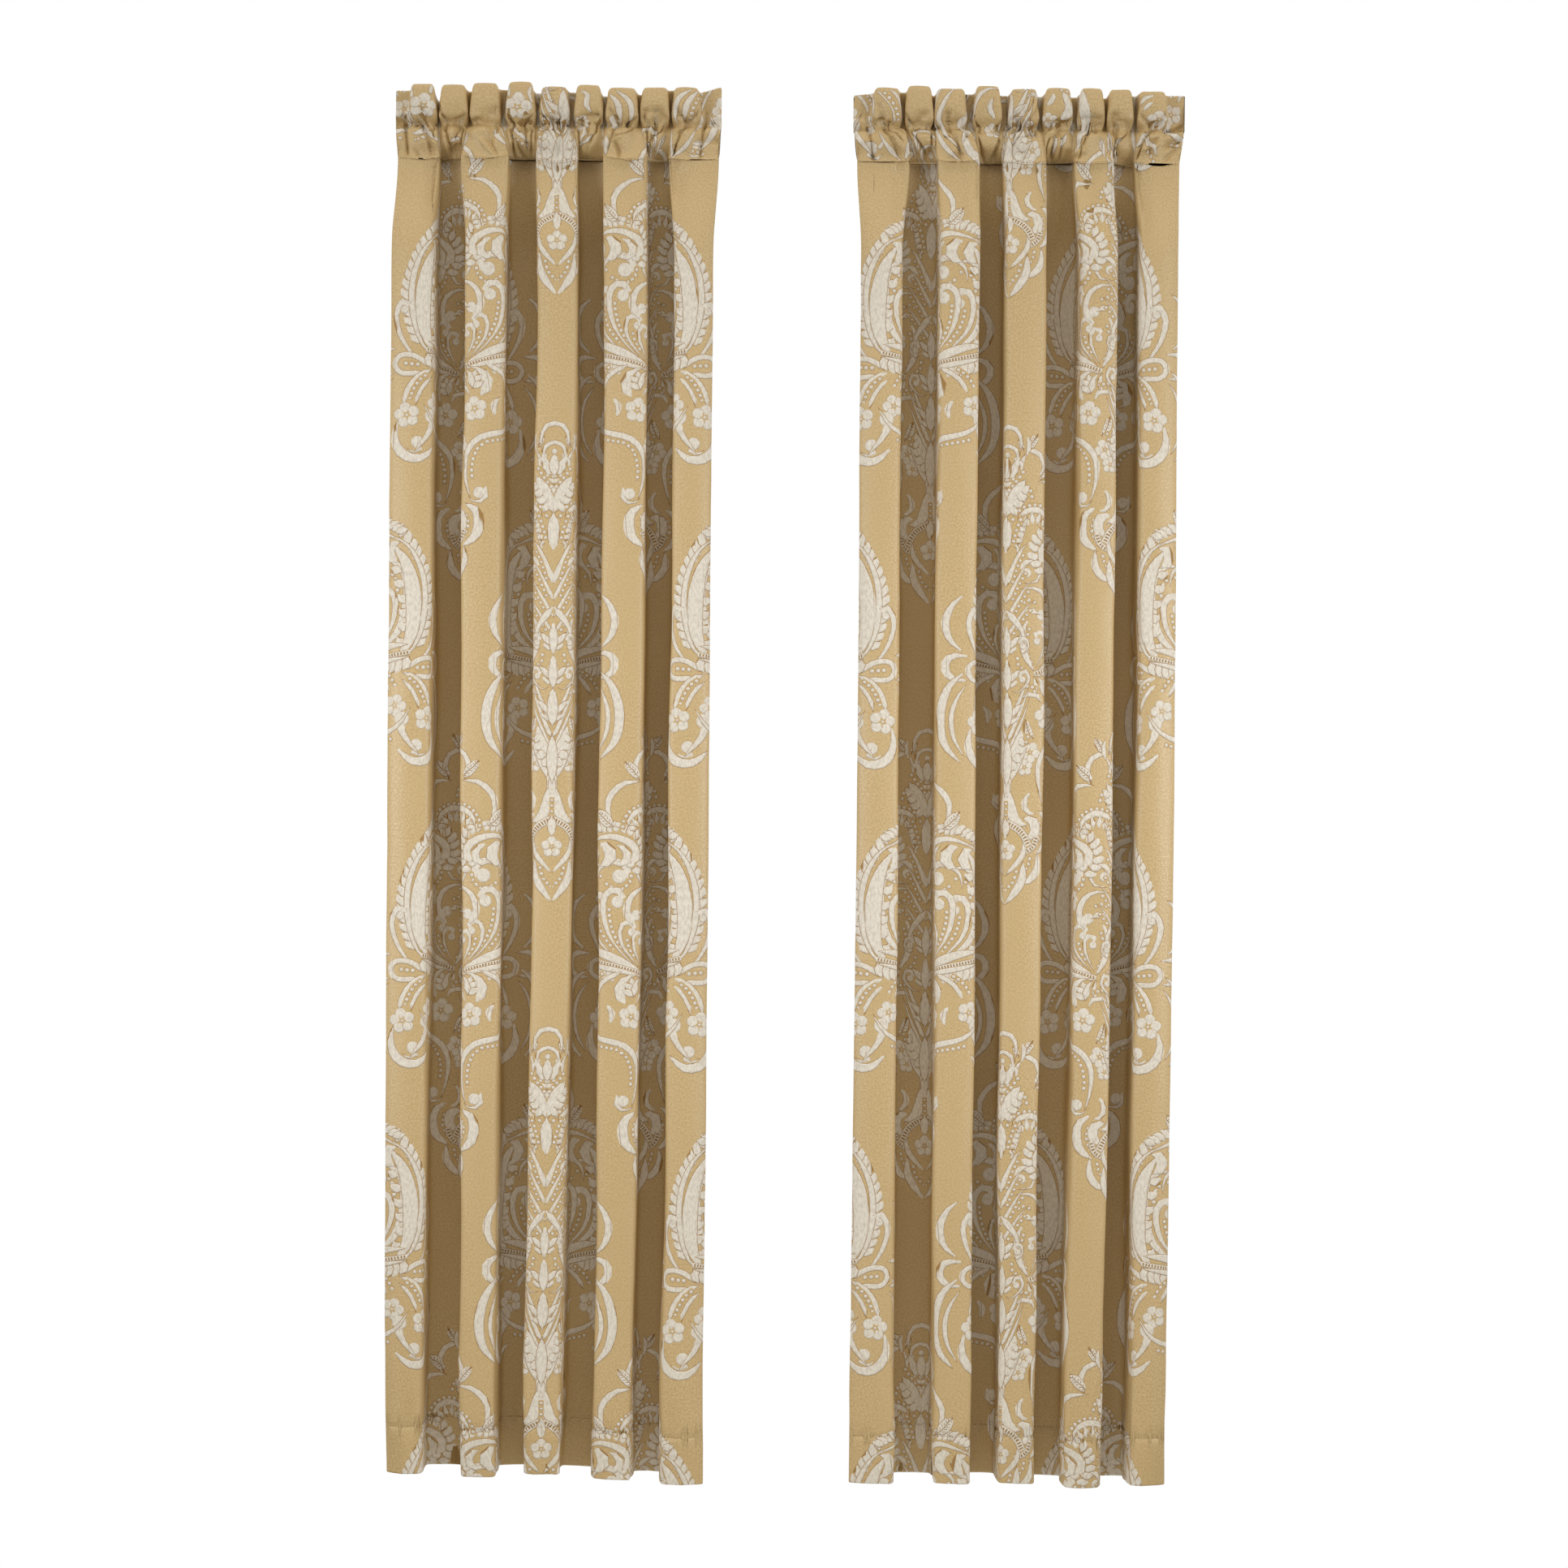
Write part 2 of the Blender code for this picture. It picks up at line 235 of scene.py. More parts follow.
@dataclass(frozen=True)
class Hanging:
    """One panel as it hangs: where its edges are, its length and its folds in order.

    The folds start and end with a front. left_end and right_end are the flat lengths of
    header outside its first and last loop, and corners is how far its top corners stand
    up. axis is where the damask's middle line lies, from the middle of the third front, and
    seams are the two sides of each lane at the lower stitches, in plan.
    """

    side: str
    header_x: float
    middle_x: float
    hem_x: float
    left_end: float
    right_end: float
    header_z: float
    hem_z: float
    axis: float
    seed: int
    corners: Pair
    seams: tuple[float, ...]
    folds: tuple[Fold, ...]

    @property
    def left_edge(self) -> float:
        """Flat distance of the left edge from the middle of the third front."""
        return -self.half_width(slice(0, 4))

    @property
    def right_edge(self) -> float:
        """Flat distance of the right edge from the middle of the third front."""
        return self.half_width(slice(5, 9))

    @property
    def flank(self) -> float:
        """Cloth in one flank, from flat to flat, at the middle height."""
        return (CLOTH_WIDTH - sum(fold.middle for fold in self.folds)) / (len(self.folds) - 1)

    def half_width(self, outer: slice) -> float:
        """Cloth from the middle of the third front to one edge."""
        return self.folds[4].middle / 2 + sum(f.middle + self.flank for f in self.folds[outer])

    def share_down(self, z: float) -> float:
        """How far z is on the way from the middle height to the hem; negative above."""
        return (z - MIDDLE_Z) / (self.hem_z - MIDDLE_Z)

    def widths(self, z: float) -> list[float]:
        """Width of each lane at this height."""
        share = max(self.share_down(z), 0.0)
        return [fold.middle + (fold.hem - fold.middle) * share for fold in self.folds]

    def lanes_flat(self, z: float) -> list[Pair]:
        """Flat distances of each lane's two sides at this height."""
        widths = self.widths(z)
        left_flank = (-self.left_edge - widths[4] / 2 - sum(widths[:4])) / 4
        right_flank = (self.right_edge - widths[4] / 2 - sum(widths[5:])) / 4
        lanes, start = [], self.left_edge
        for index, width in enumerate(widths):
            lanes.append((start, start + width))
            start += width + (left_flank if index < 4 else right_flank)
        return lanes

    def lanes_hung(self, z: float) -> list[Pair]:
        """Left and right of each lane at this height, in plan."""
        share = max(self.share_down(z), 0.0)
        start = self.middle_x + (self.hem_x - self.middle_x) * share
        lanes = []
        for width in self.widths(z):
            lanes.append((start, start + width))
            start += width
        return lanes

    def loops_hung(self) -> list[Pair]:
        """Left and right of each header loop, in plan."""
        start, loops = self.header_x + self.left_end, []
        for fold in self.folds:
            loops.append((start, start + fold.loop))
            start += fold.loop + fold.space
        return loops

    def loops_flat(self) -> list[Pair]:
        """Flat distances of each loop's two sides: the cloth between them is shared out evenly."""
        loops_wide = sum(fold.loop for fold in self.folds)
        spare = CLOTH_WIDTH - self.left_end - self.right_end - 2 * END_TUCK - loops_wide
        start, loops = self.left_edge + self.left_end + END_TUCK, []
        for fold in self.folds:
            loops.append((start, start + fold.loop))
            start += fold.loop + spare / (len(self.folds) - 1)
        return loops

    def columns(self) -> FloatGrid:
        """Flat distances of the surface's columns, a millimetre apart."""
        return np.linspace(self.left_edge, self.right_edge, int(CLOTH_WIDTH) + 1)

    def plan(self, knots: Sequence[tuple[float, float, float]], spread: float) -> FloatGrid:
        """A line of cloth seen from above.

        Args:
            knots: flat distance, x and y of each corner, from left to right.
            spread: how far the corners are rounded.

        Returns:
            x and y at each column.
        """
        flat, x, y = np.array(knots).T
        columns = self.columns()
        return np.stack([soften(np.interp(columns, flat, line), spread) for line in (x, y)], axis=1)

    def fold_plan(self, z: float) -> FloatGrid:
        """The hanging cloth at this height, in full folds."""
        rng = np.random.default_rng(self.seed)
        sway = rng.uniform(0, math.tau, (len(self.folds), 3))
        knots = []
        lanes = list(zip(self.lanes_flat(z), self.lanes_hung(z)))
        for index, ((start, end), (left, right)) in enumerate(lanes):
            front = index % 2 == 0
            y = FOLD_DEPTH * (-0.5 if front else 0.5)
            wander = 1.6 * math.sin(z / 170 + sway[index][0]) + 1.2 * math.sin(z / 71 + sway[index][1])
            near = y + 1.5 * math.sin(z / 230 + sway[index][2])
            out = -1.0 if front else 1.0
            if index == 0:
                knots.append((start, left, near + EDGE_CURL))
                knots.append((start + EDGE_CURL, left + EDGE_CURL * 0.8, near + 2))
            else:
                knots.append((start, left + wander, near))
            knots.append(((start + end) / 2, (left + right) / 2 + wander * 0.6, near + 3.4 * out))
            if index == len(lanes) - 1:
                knots.append((end - EDGE_CURL, right - EDGE_CURL * 0.8, near + 2))
                knots.append((end, right, near + EDGE_CURL))
            else:
                knots.append((end, right + wander * 0.5, near))
        return self.plan(knots, 5.2)

    def stitch_plan(self) -> FloatGrid:
        """The lower line of stitches, in small folds."""
        knots = []
        for fold, flat, left, right in zip(self.folds, self.seams_flat(), self.seams, self.seams[1:]):
            y = VALLEY_STITCH_Y - fold.sewn
            knots += [(flat[0], left, y), (flat[1], right, y)]
        return self.plan(knots, 3.4)

    def seams_flat(self) -> list[Pair]:
        """Flat distances of each lane's two sides at the lower stitches."""
        lanes = []
        for (start, end), left, right in zip(self.lanes_flat(MIDDLE_Z), self.seams, self.seams[1:]):
            middle, half = (start + end) / 2, max(end - start, right - left) / 2
            lanes.append((max(middle - half, self.left_edge), min(middle + half, self.right_edge)))
        return lanes

    def stitch_dip(self) -> FloatGrid:
        """How much lower the lower stitches run at each column: they sag under each front."""
        rng = np.random.default_rng(self.seed + 3)
        columns = self.columns()
        dip = np.zeros(len(columns))
        for start, end in self.seams_flat()[::2]:
            share = np.clip((columns - start) / (end - start), 0, 1)
            dip += STITCH_DIP * rng.uniform(0.6, 1.3) * np.sin(np.pi * share ** rng.uniform(0.7, 1.4))
        return dip

    def loop_plan(self, depth: float, fullness: float, back: float) -> FloatGrid:
        """The header at one height: loops at the front with a turn at the back between them.

        Args:
            depth: share of the loops' full depth.
            fullness: width of a loop against its middle width.
            back: how far behind the front layer this layer lies.

        Returns:
            x and y at each column.
        """
        front_y, back_y = LOOP_FRONT_Y * depth, LOOP_BACK_Y * depth
        loops = list(zip(self.loops_flat(), self.loops_hung()))
        knots = [
            (self.left_edge, self.header_x, 0.0),
            (self.left_edge + self.left_end + 1, self.header_x + self.left_end - 1, 2.0 * depth),
        ]
        for index, ((start, end), (left, right)) in enumerate(loops):
            if index > 0:
                before = loops[index - 1]
                middle, flat = (before[1][1] + left) / 2, (before[0][1] + start) / 2
                half = max((left - before[1][1]) / 2 - 1.0, 1.5)
                knots += [(flat - 8, middle - half, back_y), (flat + 8, middle + half, back_y)]
            narrow = (right - left) * (1 - fullness) / 2
            knots += [(start + 1, left + narrow, front_y + 3), (start + 8, left + narrow + 5, front_y)]
            knots += [((start + end) / 2, (left + right) / 2, front_y - 1.5)]
            knots += [(end - 8, right - narrow - 5, front_y), (end - 1, right - narrow, front_y + 3)]
        edge = loops[-1][1][1] + self.right_end
        knots.append((self.right_edge - self.right_end - 1, edge - self.right_end + 1, 2.0 * depth))
        knots.append((self.right_edge, edge, 0.0))
        return self.behind(self.plan(knots, 3.2), back)

    def behind(self, plan: FloatGrid, distance: float) -> FloatGrid:
        """A plan moved towards the reverse of its cloth."""
        along = np.gradient(plan, axis=0)
        along /= np.linalg.norm(along, axis=1, keepdims=True)
        return plan + np.stack([-along[:, 1], along[:, 0]], axis=1) * distance

    def pocket_plan(self, base_y: float, puff: float, depth: float, sewn: float) -> FloatGrid:
        """One wall of the rod pocket: loops have opened into a soft wave with a puff under each.

        Args:
            base_y: depth of the wall between the puffs.
            puff: how far the wall stands out under a loop.
            depth: share of the stitches' folds that is still there.
            sewn: how near it is to the lower stitches, from 0 to 1.

        Returns:
            x and y at each column.
        """
        loops = self.loop_plan(PINCH, 1.0, 0.0)
        stitched = self.stitch_plan()
        mixed = loops * (1 - sewn) + stitched * sewn
        wall = np.full(len(mixed), base_y)
        columns = self.columns()
        for start, end in self.loops_flat():
            wall += puff * bell(columns - (start + end) / 2, (end - start) * 0.42)
        mixed[:, 1] = mixed[:, 1] * depth + wall * (1 - depth)
        return mixed

    def hem_drop(self) -> FloatGrid:
        """How much lower the hem hangs at each column."""
        flat = [(start + end) / 2 for start, end in self.lanes_flat(self.hem_z)]
        return soften(np.interp(self.columns(), flat, [fold.drop for fold in self.folds]), 12.0)

    def header_rise(self) -> FloatGrid:
        """How much higher the header's top edge is at each column than between the loops."""
        columns = self.columns()
        loops = self.loops_flat()
        ends = [
            (columns <= loops[0][0], self.left_end, self.left_edge),
            (columns >= loops[-1][1], self.right_end, self.right_edge),
        ]
        rise = np.zeros(len(columns))
        for (outside, long, edge), corner in zip(ends, self.corners):
            rise += outside * corner * np.clip(1 - np.abs(columns - edge) / long, 0, 1)
        for fold, (start, end), after in zip(self.folds, loops, loops[1:]):
            rise -= fold.sag * bell(columns - (end + after[0]) / 2, (after[0] - end) * 0.3)
        for fold, (start, end) in zip(self.folds, loops):
            inside = ease((columns - start + 4) / 8) * ease((end + 4 - columns) / 8)
            rise += (LOOP_STEP + fold.rise - rise) * inside
        return soften(rise, 1.5)


LEFT = Hanging(
    side="left",
    header_x=-601.0,
    middle_x=-602.5,
    hem_x=-599.0,
    left_end=24.0,
    right_end=34.0,
    header_z=84.0,
    hem_z=-2050.0,
    axis=0.0,
    seed=5,
    corners=(0.0, 9.0),
    seams=(-596.0, -532.5, -498.0, -425.0, -383.5, -320.0, -279.6, -213.0, -179.0, -103.0),
    folds=(
        Fold(middle=66, hem=56, loop=38, space=8.0, rise=1.0, sewn=24, drop=-4.5, sag=13),
        Fold(middle=47, hem=63, loop=40, space=8.0, rise=0.0, sewn=0, drop=-2.5, sag=-2),
        Fold(middle=61, hem=50, loop=42, space=12.5, rise=3.0, sewn=40, drop=-0.5, sag=-5),
        Fold(middle=49, hem=45, loop=41, space=11.0, rise=5.0, sewn=1, drop=-3.5, sag=0),
        Fold(middle=62, hem=54, loop=41, space=12.5, rise=-2.0, sewn=27, drop=-6.5, sag=-2),
        Fold(middle=41, hem=52, loop=39, space=9.5, rise=1.0, sewn=0, drop=-2.0, sag=4),
        Fold(middle=65, hem=58, loop=45, space=8.0, rise=-3.0, sewn=40, drop=2.5, sag=1),
        Fold(middle=42, hem=44, loop=40, space=9.0, rise=-2.0, sewn=2, drop=5.5, sag=-6),
        Fold(middle=60, hem=66, loop=39, space=0.0, rise=-1.5, sewn=30, drop=9.0),
    ),
)

RIGHT = Hanging(
    side="right",
    header_x=104.0,
    middle_x=116.5,
    hem_x=112.5,
    left_end=31.0,
    right_end=31.0,
    header_z=85.0,
    hem_z=-2055.0,
    axis=-27.0,
    seed=8,
    corners=(-3.0, 0.0),
    seams=(110.5, 190.2, 234.0, 297.2, 334.7, 400.1, 443.1, 503.4, 537.2, 605.0),
    folds=(
        Fold(middle=63, hem=67, loop=40, space=10.0, rise=-0.5, sewn=25, drop=-0.5, sag=-5),
        Fold(middle=57, hem=61, loop=39, space=6.0, rise=2.5, sewn=1, drop=-1.0, sag=0),
        Fold(middle=61, hem=58, loop=45, space=15.0, rise=-1.0, sewn=38, drop=-1.5, sag=-3),
        Fold(middle=41, hem=42, loop=39, space=15.0, rise=3.5, sewn=0, drop=-1.5, sag=-1),
        Fold(middle=62, hem=54, loop=42, space=11.0, rise=-1.0, sewn=32, drop=-2.0, sag=0),
        Fold(middle=51, hem=46, loop=41, space=12.5, rise=1.0, sewn=2, drop=1.5, sag=1),
        Fold(middle=57, hem=57, loop=37, space=8.0, rise=1.0, sewn=36, drop=4.5, sag=2),
        Fold(middle=37, hem=42, loop=36, space=11.0, rise=-0.5, sewn=0, drop=1.5, sag=-2),
        Fold(middle=57, hem=57, loop=41, space=0.0, rise=-3.0, sewn=26, drop=-1.0),
    ),
)

# --- Cloth hung on the folds -----------------------------------------------------------


@dataclass(frozen=True)
class Crease:
    """One soft trough or ridge: a straight line on the flat cloth, with a round section.

    across and up are its middle, reach is half its length, lean turns it from upright,
    spread is its half width, and depth is how far it moves the cloth: below 0 is a trough.
    """

    across: float
    up: float
    reach: float
    lean: float
    spread: float
    depth: float

    def field(self, surface: Surface) -> FloatGrid:
        """How far this crease moves each point of the surface."""
        side = surface.across[None, :] - self.across
        rise = surface.up[:, None] - self.up
        turn = math.radians(self.lean)
        along = rise * math.cos(turn) + side * math.sin(turn)
        beside = side * math.cos(turn) - rise * math.sin(turn)
        past = np.maximum(np.abs(along) - self.reach, 0.0)
        return self.depth * bell(beside, self.spread) * bell(past, max(self.spread, self.reach * 0.6))


@dataclass
class PanelCloth:
    """The hanging part of one panel, from the lower stitches to the hem."""

    hanging: Hanging
    row_step: float = BOTTOM_HEM / 19

    @property
    def top(self) -> float:
        """Height of its upper edge."""
        return LOWER_STITCH_Z + SEAM_ALLOWANCE

    def surface(self) -> Surface:
        """The hung cloth, with its gathers, ripples and hem."""
        hanging = self.hanging
        up = np.append(np.arange(hanging.hem_z, self.top - self.row_step, self.row_step), self.top)
        stitched = hanging.stitch_plan()
        drop, dip = hanging.hem_drop(), hanging.stitch_dip()
        points = np.zeros((len(up), len(stitched), 3))
        sewn_z = self.top - 4
        for row, z in enumerate(up):
            opened = float(ease((sewn_z - z) / (sewn_z - FULL_FOLD_Z)))
            plan = stitched + (hanging.fold_plan(min(z, -60.0)) - stitched) * opened
            near = np.clip(0.5 - plan[:, 1] / FOLD_DEPTH, 0, 1)
            plan[:, 1] += HEM_LEAN * max(hanging.hem_z + BOTTOM_HEM - z, 0.0) * near
            points[row, :, :2] = plan
            points[row, :, 2] = z - drop * ease(hanging.share_down(z)) - dip * ease((z - self.top + 70) / 60)
        surface = Surface(hanging.columns(), up, points)
        self.ripple(surface)
        gathered = sum(crease.field(surface) for crease in self.gathers())
        surface.push(gathered * ease((self.top - up) / 12)[:, None])
        return surface

    def ripple(self, surface: Surface) -> None:
        """Soft unevenness everywhere, and ripples that grow towards the hem."""
        seed = self.hanging.seed
        shape = (len(surface.up), len(surface.across))
        low = ease((surface.up[:, None] - self.hanging.hem_z - 520) / -480)
        depth = 0.75 * smooth_noise(shape, (34, 26), seed + 11)
        depth += 0.35 * smooth_noise(shape, (9, 17), seed + 12)
        depth += low * 2.2 * smooth_noise(shape, (60, 24), seed + 13)
        depth += ease(low * 1.6 - 0.6) * 1.6 * smooth_noise(shape, (22, 15), seed + 14)
        stitched = surface.up[:, None] - self.hanging.hem_z - BOTTOM_HEM
        pucker = smooth_noise(shape, (400, 5.5), seed + 15)
        depth += 0.9 * pucker * bell(stitched, 7.0) - 3.0 * bell(stitched, 2.6)
        surface.push(depth * ease((self.top - surface.up[:, None]) / 16))

    def gathers(self) -> list[Crease]:
        """Small gathers that fall from the stitches and fade into the folds."""
        rng = np.random.default_rng(self.hanging.seed + 21)
        creases = []
        for index, (start, end) in enumerate(self.hanging.lanes_flat(MIDDLE_Z)):
            count = 2 if index % 2 or index in (0, 8) else 4
            start = max(start, self.hanging.left_edge + SIDE_HEM + 30)
            end = min(end, self.hanging.right_edge - SIDE_HEM - 30)
            for number in range(count):
                share = (number + 0.5 + rng.uniform(-0.22, 0.22)) / count
                long = rng.uniform(40, 120)
                creases.append(
                    Crease(
                        across=start + (end - start) * share,
                        up=self.top - long * 0.5,
                        reach=long * 0.5,
                        lean=rng.uniform(-4, 4),
                        spread=rng.uniform(6.8, 9.5),
                        depth=-rng.uniform(3.0, 5.5) * (1.0 if index % 2 == 0 else 0.6),
                    )
                )
        return creases


# Creases of each loop and of the pocket under it, in order, from the loop's middle:
# across, up, reach, lean, spread and depth
CREASES: dict[str, tuple[tuple[tuple[float, ...], ...], ...]] = {
    "left": (
        ((-29, 36.5, 10, 85, 2.5, -3.5), (-27, 29.5, 8, 75, 2, -3), (-29, 48.5, 8, 80, 3, 2),
         (-27, -5.5, 26, 0, 2.2, -5), (-20, -29.5, 10, -35, 2.4, -4), (-3, -7.5, 24, 2, 2.6, -9),
         (-10, 30.5, 4, 60, 2, -3), (10, 14.5, 6, 0, 2.4, -6), (14, 23.5, 6, 70, 2, -4),
         (3, 40.5, 8, -20, 2.6, -3)),
        ((-17, 46.5, 9, -24, 2.5, -4.5), (8, 35.5, 7, 50, 2.5, -3.5), (0, 33.5, 14, 88, 3.5, -2.5),
         (-12, -8.5, 24, -3, 1.9, -8), (3, -21.5, 10, -20, 6, -7), (5, 16.5, 11, 25, 1.9, -4),
         (13, 8.5, 12, 12, 1.9, -4), (-4, 12.5, 12, 5, 3, 2.5)),
        ((14, 46.5, 3, 30, 6, -5), (-13, 35.5, 4, 70, 2.2, -3.5), (-12, 40.5, 4, 70, 2.4, 1.6),
         (8, 10.5, 9, 10, 4, -5), (2, -13.5, 11, -35, 2.8, 3), (8, -10.5, 10, -30, 2.8, -3),
         (-12, 14.5, 8, 60, 5, 2), (-25, -25.5, 7, -50, 2.2, -3.5), (20, -27.5, 8, 45, 2.5, -4),
         (17, 20.5, 6, 25, 2.2, -4)),
        ((-14, 32.5, 6, -20, 2.2, -3), (12, 33.5, 6, 25, 2.2, -3.5), (-14, 9.5, 20, 0, 1.9, -6),
         (8, 14.5, 16, -3, 2.2, -5), (0, 24.5, 5, 10, 2, -3), (-3, -11.5, 10, -20, 3, -4),
         (18, 6.5, 14, 0, 2.2, -4)),
        ((2, 53.5, 20, -18, 2, -2.6), (-9, 52.5, 16, -28, 2, -2), (-10, 38.5, 8, -60, 2.2, -3),
         (10, 41.5, 12, 10, 2.5, -2.4), (4, 26.5, 4, 40, 1.9, -5), (10, 24.5, 5, -30, 1.9, -4.5),
         (-6, 16.5, 8, -10, 2.2, -3), (-12, -1.5, 20, -2, 2.6, -3), (14, -0.5, 20, 3, 2.6, -3)),
        ((7, 40.5, 4, 85, 3.6, -5.5), (-10, 34.5, 6, 40, 2.2, -3.5), (-12, 2.5, 16, -4, 2, -7),
         (16, 16.5, 12, 12, 1.9, -6), (-9, -13.5, 8, 0, 4, -4), (3, 20.5, 6, -12, 2, -3.5),
         (4, 2.5, 12, 20, 2.4, -3)),
        ((-10, 40.5, 9, -20, 2.5, -3.6), (16, 34.5, 5, 60, 2.5, -3.5), (-6, -3.5, 26, 0, 1.8, -5),
         (6, 12.5, 12, 55, 2.6, -4.5), (4, 7.5, 12, 55, 2.6, 2.6), (3, -4.5, 12, -50, 2.4, -3.2),
         (13, -17.5, 12, -25, 1.9, -4.8), (18, 20.5, 5, 40, 2, -3)),
        ((-14, 44.5, 5, 30, 4, -4.8), (7, 42.5, 6, -35, 4.6, -5), (0, 29.5, 5, 0, 2, -4),
         (-10, 8.5, 16, -6, 1.9, -7), (2, 2.5, 22, 0, 2.2, -9), (13, 16.5, 9, 30, 1.9, -4.5),
         (8, 20.5, 7, -30, 1.9, -3.5), (-14, -11.5, 12, 0, 2.4, -4)),
        ((-4, 38.5, 10, -25, 2.4, -4), (8, 36.5, 9, 30, 2.4, -4), (-2, 20.5, 1, 0, 2.6, -8),
         (-8, 19.5, 3, 0, 2.4, 2.5), (4, 19.5, 3, 0, 2.4, 2.5), (1, -1.5, 16, 0, 2.2, -6),
         (3, -15.5, 16, 0, 1.9, -6), (27, -5.5, 28, 0, 2, -5), (37, 37.5, 12, 88, 2.5, -3),
         (37, 2.5, 12, 85, 3, -3), (36, 19.5, 12, 90, 6, 3)),
    ),
    "right": (
        ((-36, 41.5, 12, 85, 3, 2.5), (-36, 29.5, 12, 88, 2.2, -4), (-36, 6.5, 10, 80, 5, 3),
         (-28, -5.5, 26, 0, 2, -5), (-8, 52.5, 8, -10, 4, -4), (-13, 36.5, 6, 85, 2.2, -4),
         (4, 30.5, 4, 0, 2, -5), (-8, -5.5, 24, 2, 2.6, -9), (5, 18.5, 8, -20, 2, -4),
         (20, 2.5, 18, 12, 3, 2.4)),
        ((-15, 37.5, 7, -20, 3, -4.5), (1, 38.5, 9, 25, 4, -5), (0, 31.5, 12, 88, 3, -2),
         (12, 14.5, 10, 20, 2, -4.5), (-13, -0.5, 14, -15, 2, -6), (8, -1.5, 14, 20, 2.2, -5),
         (0, -17.5, 10, 0, 5, -4)),
        ((-4, 39.5, 8, 5, 3, -6.5), (9, 36.5, 6, 60, 4, -3), (-9, 14.5, 5, 80, 5, -4.5),
         (-11, -19.5, 7, 60, 3, -4), (-11, -13.5, 7, 60, 3, 2.4), (-1, -13.5, 20, 0, 1.9, -7),
         (14, 14.5, 8, 30, 2, -3.5), (20, 18.5, 6, -40, 1.9, -3.5), (28, -3.5, 14, 8, 3, 2)),
        ((16, 29.5, 6, 30, 2, -4), (-17, 34.5, 7, -20, 2, -3.5), (14, 2.5, 18, 25, 2.4, -7),
         (-14, -11.5, 14, -8, 2, -4.5), (18, 16.5, 5, -40, 1.9, -3.5), (2, 46.5, 12, 10, 6, -2)),
        ((4, 54.5, 18, 30, 2.2, -2.6), (12, 48.5, 14, 35, 2, -2.6), (-4, 56.5, 16, 30, 2, -2),
         (-10, 40.5, 8, -10, 2.4, -3), (12, 25.5, 4, 0, 2, -6.5), (18, 20.5, 6, 50, 1.9, -4.5),
         (4, 20.5, 9, 60, 1.9, -4), (-2, 11.5, 10, 50, 1.9, -3), (-14, -1.5, 20, 0, 2.4, -3)),
        ((12, 35.5, 8, 75, 4, -4.5), (-14, 30.5, 7, 50, 2, -4), (0, -0.5, 20, 0, 2.2, -6),
         (-10, 8.5, 10, 20, 2, -5), (14, -5.5, 14, -5, 2.4, -4), (6, 23.5, 6, -20, 2, -3)),
        ((0, 41.5, 9, 90, 5, -5.5), (-8, 30.5, 5, 30, 1.9, -4.5), (0, 28.5, 5, 0, 1.9, -4.5),
         (8, 30.5, 5, -30, 1.9, -4.5), (15, 33.5, 5, 60, 2, -3.5), (-9, -0.5, 6, 80, 5, -4.5),
         (-9, -11.5, 8, 80, 2.4, 2.6), (-7, -17.5, 8, 80, 2.2, -3.2), (1, 0.5, 26, 0, 1.8, -5)),
        ((-9, 39.5, 8, 15, 3.4, -6.5), (8, 36.5, 8, -70, 3, -2.5), (-4, -9.5, 24, -2, 2.2, -9),
         (3, 6.5, 11, -25, 2, -4), (11, 8.5, 11, 28, 2.2, -4.5), (12, -15.5, 10, 0, 4, -3)),
        ((4, 34.5, 1, 0, 3, -8), (-8, 38.5, 8, -30, 2.2, -3.5), (12, 40.5, 8, 25, 2.2, -3),
         (-6, 14.5, 10, 20, 2, -4.5), (-4, -7.5, 22, 4, 2.6, -6), (10, 4.5, 14, -35, 2.4, -4.5),
         (17, 6.5, 5, 60, 4, -4.5), (20, 0.5, 8, 70, 3, 2), (38, 6.5, 10, 60, 3, -4.5),
         (38, 18.5, 10, 70, 3, 2.5), (34, 32.5, 10, 75, 2.2, -4), (36, -10.5, 8, 50, 2.5, -3.5)),
    ),
}


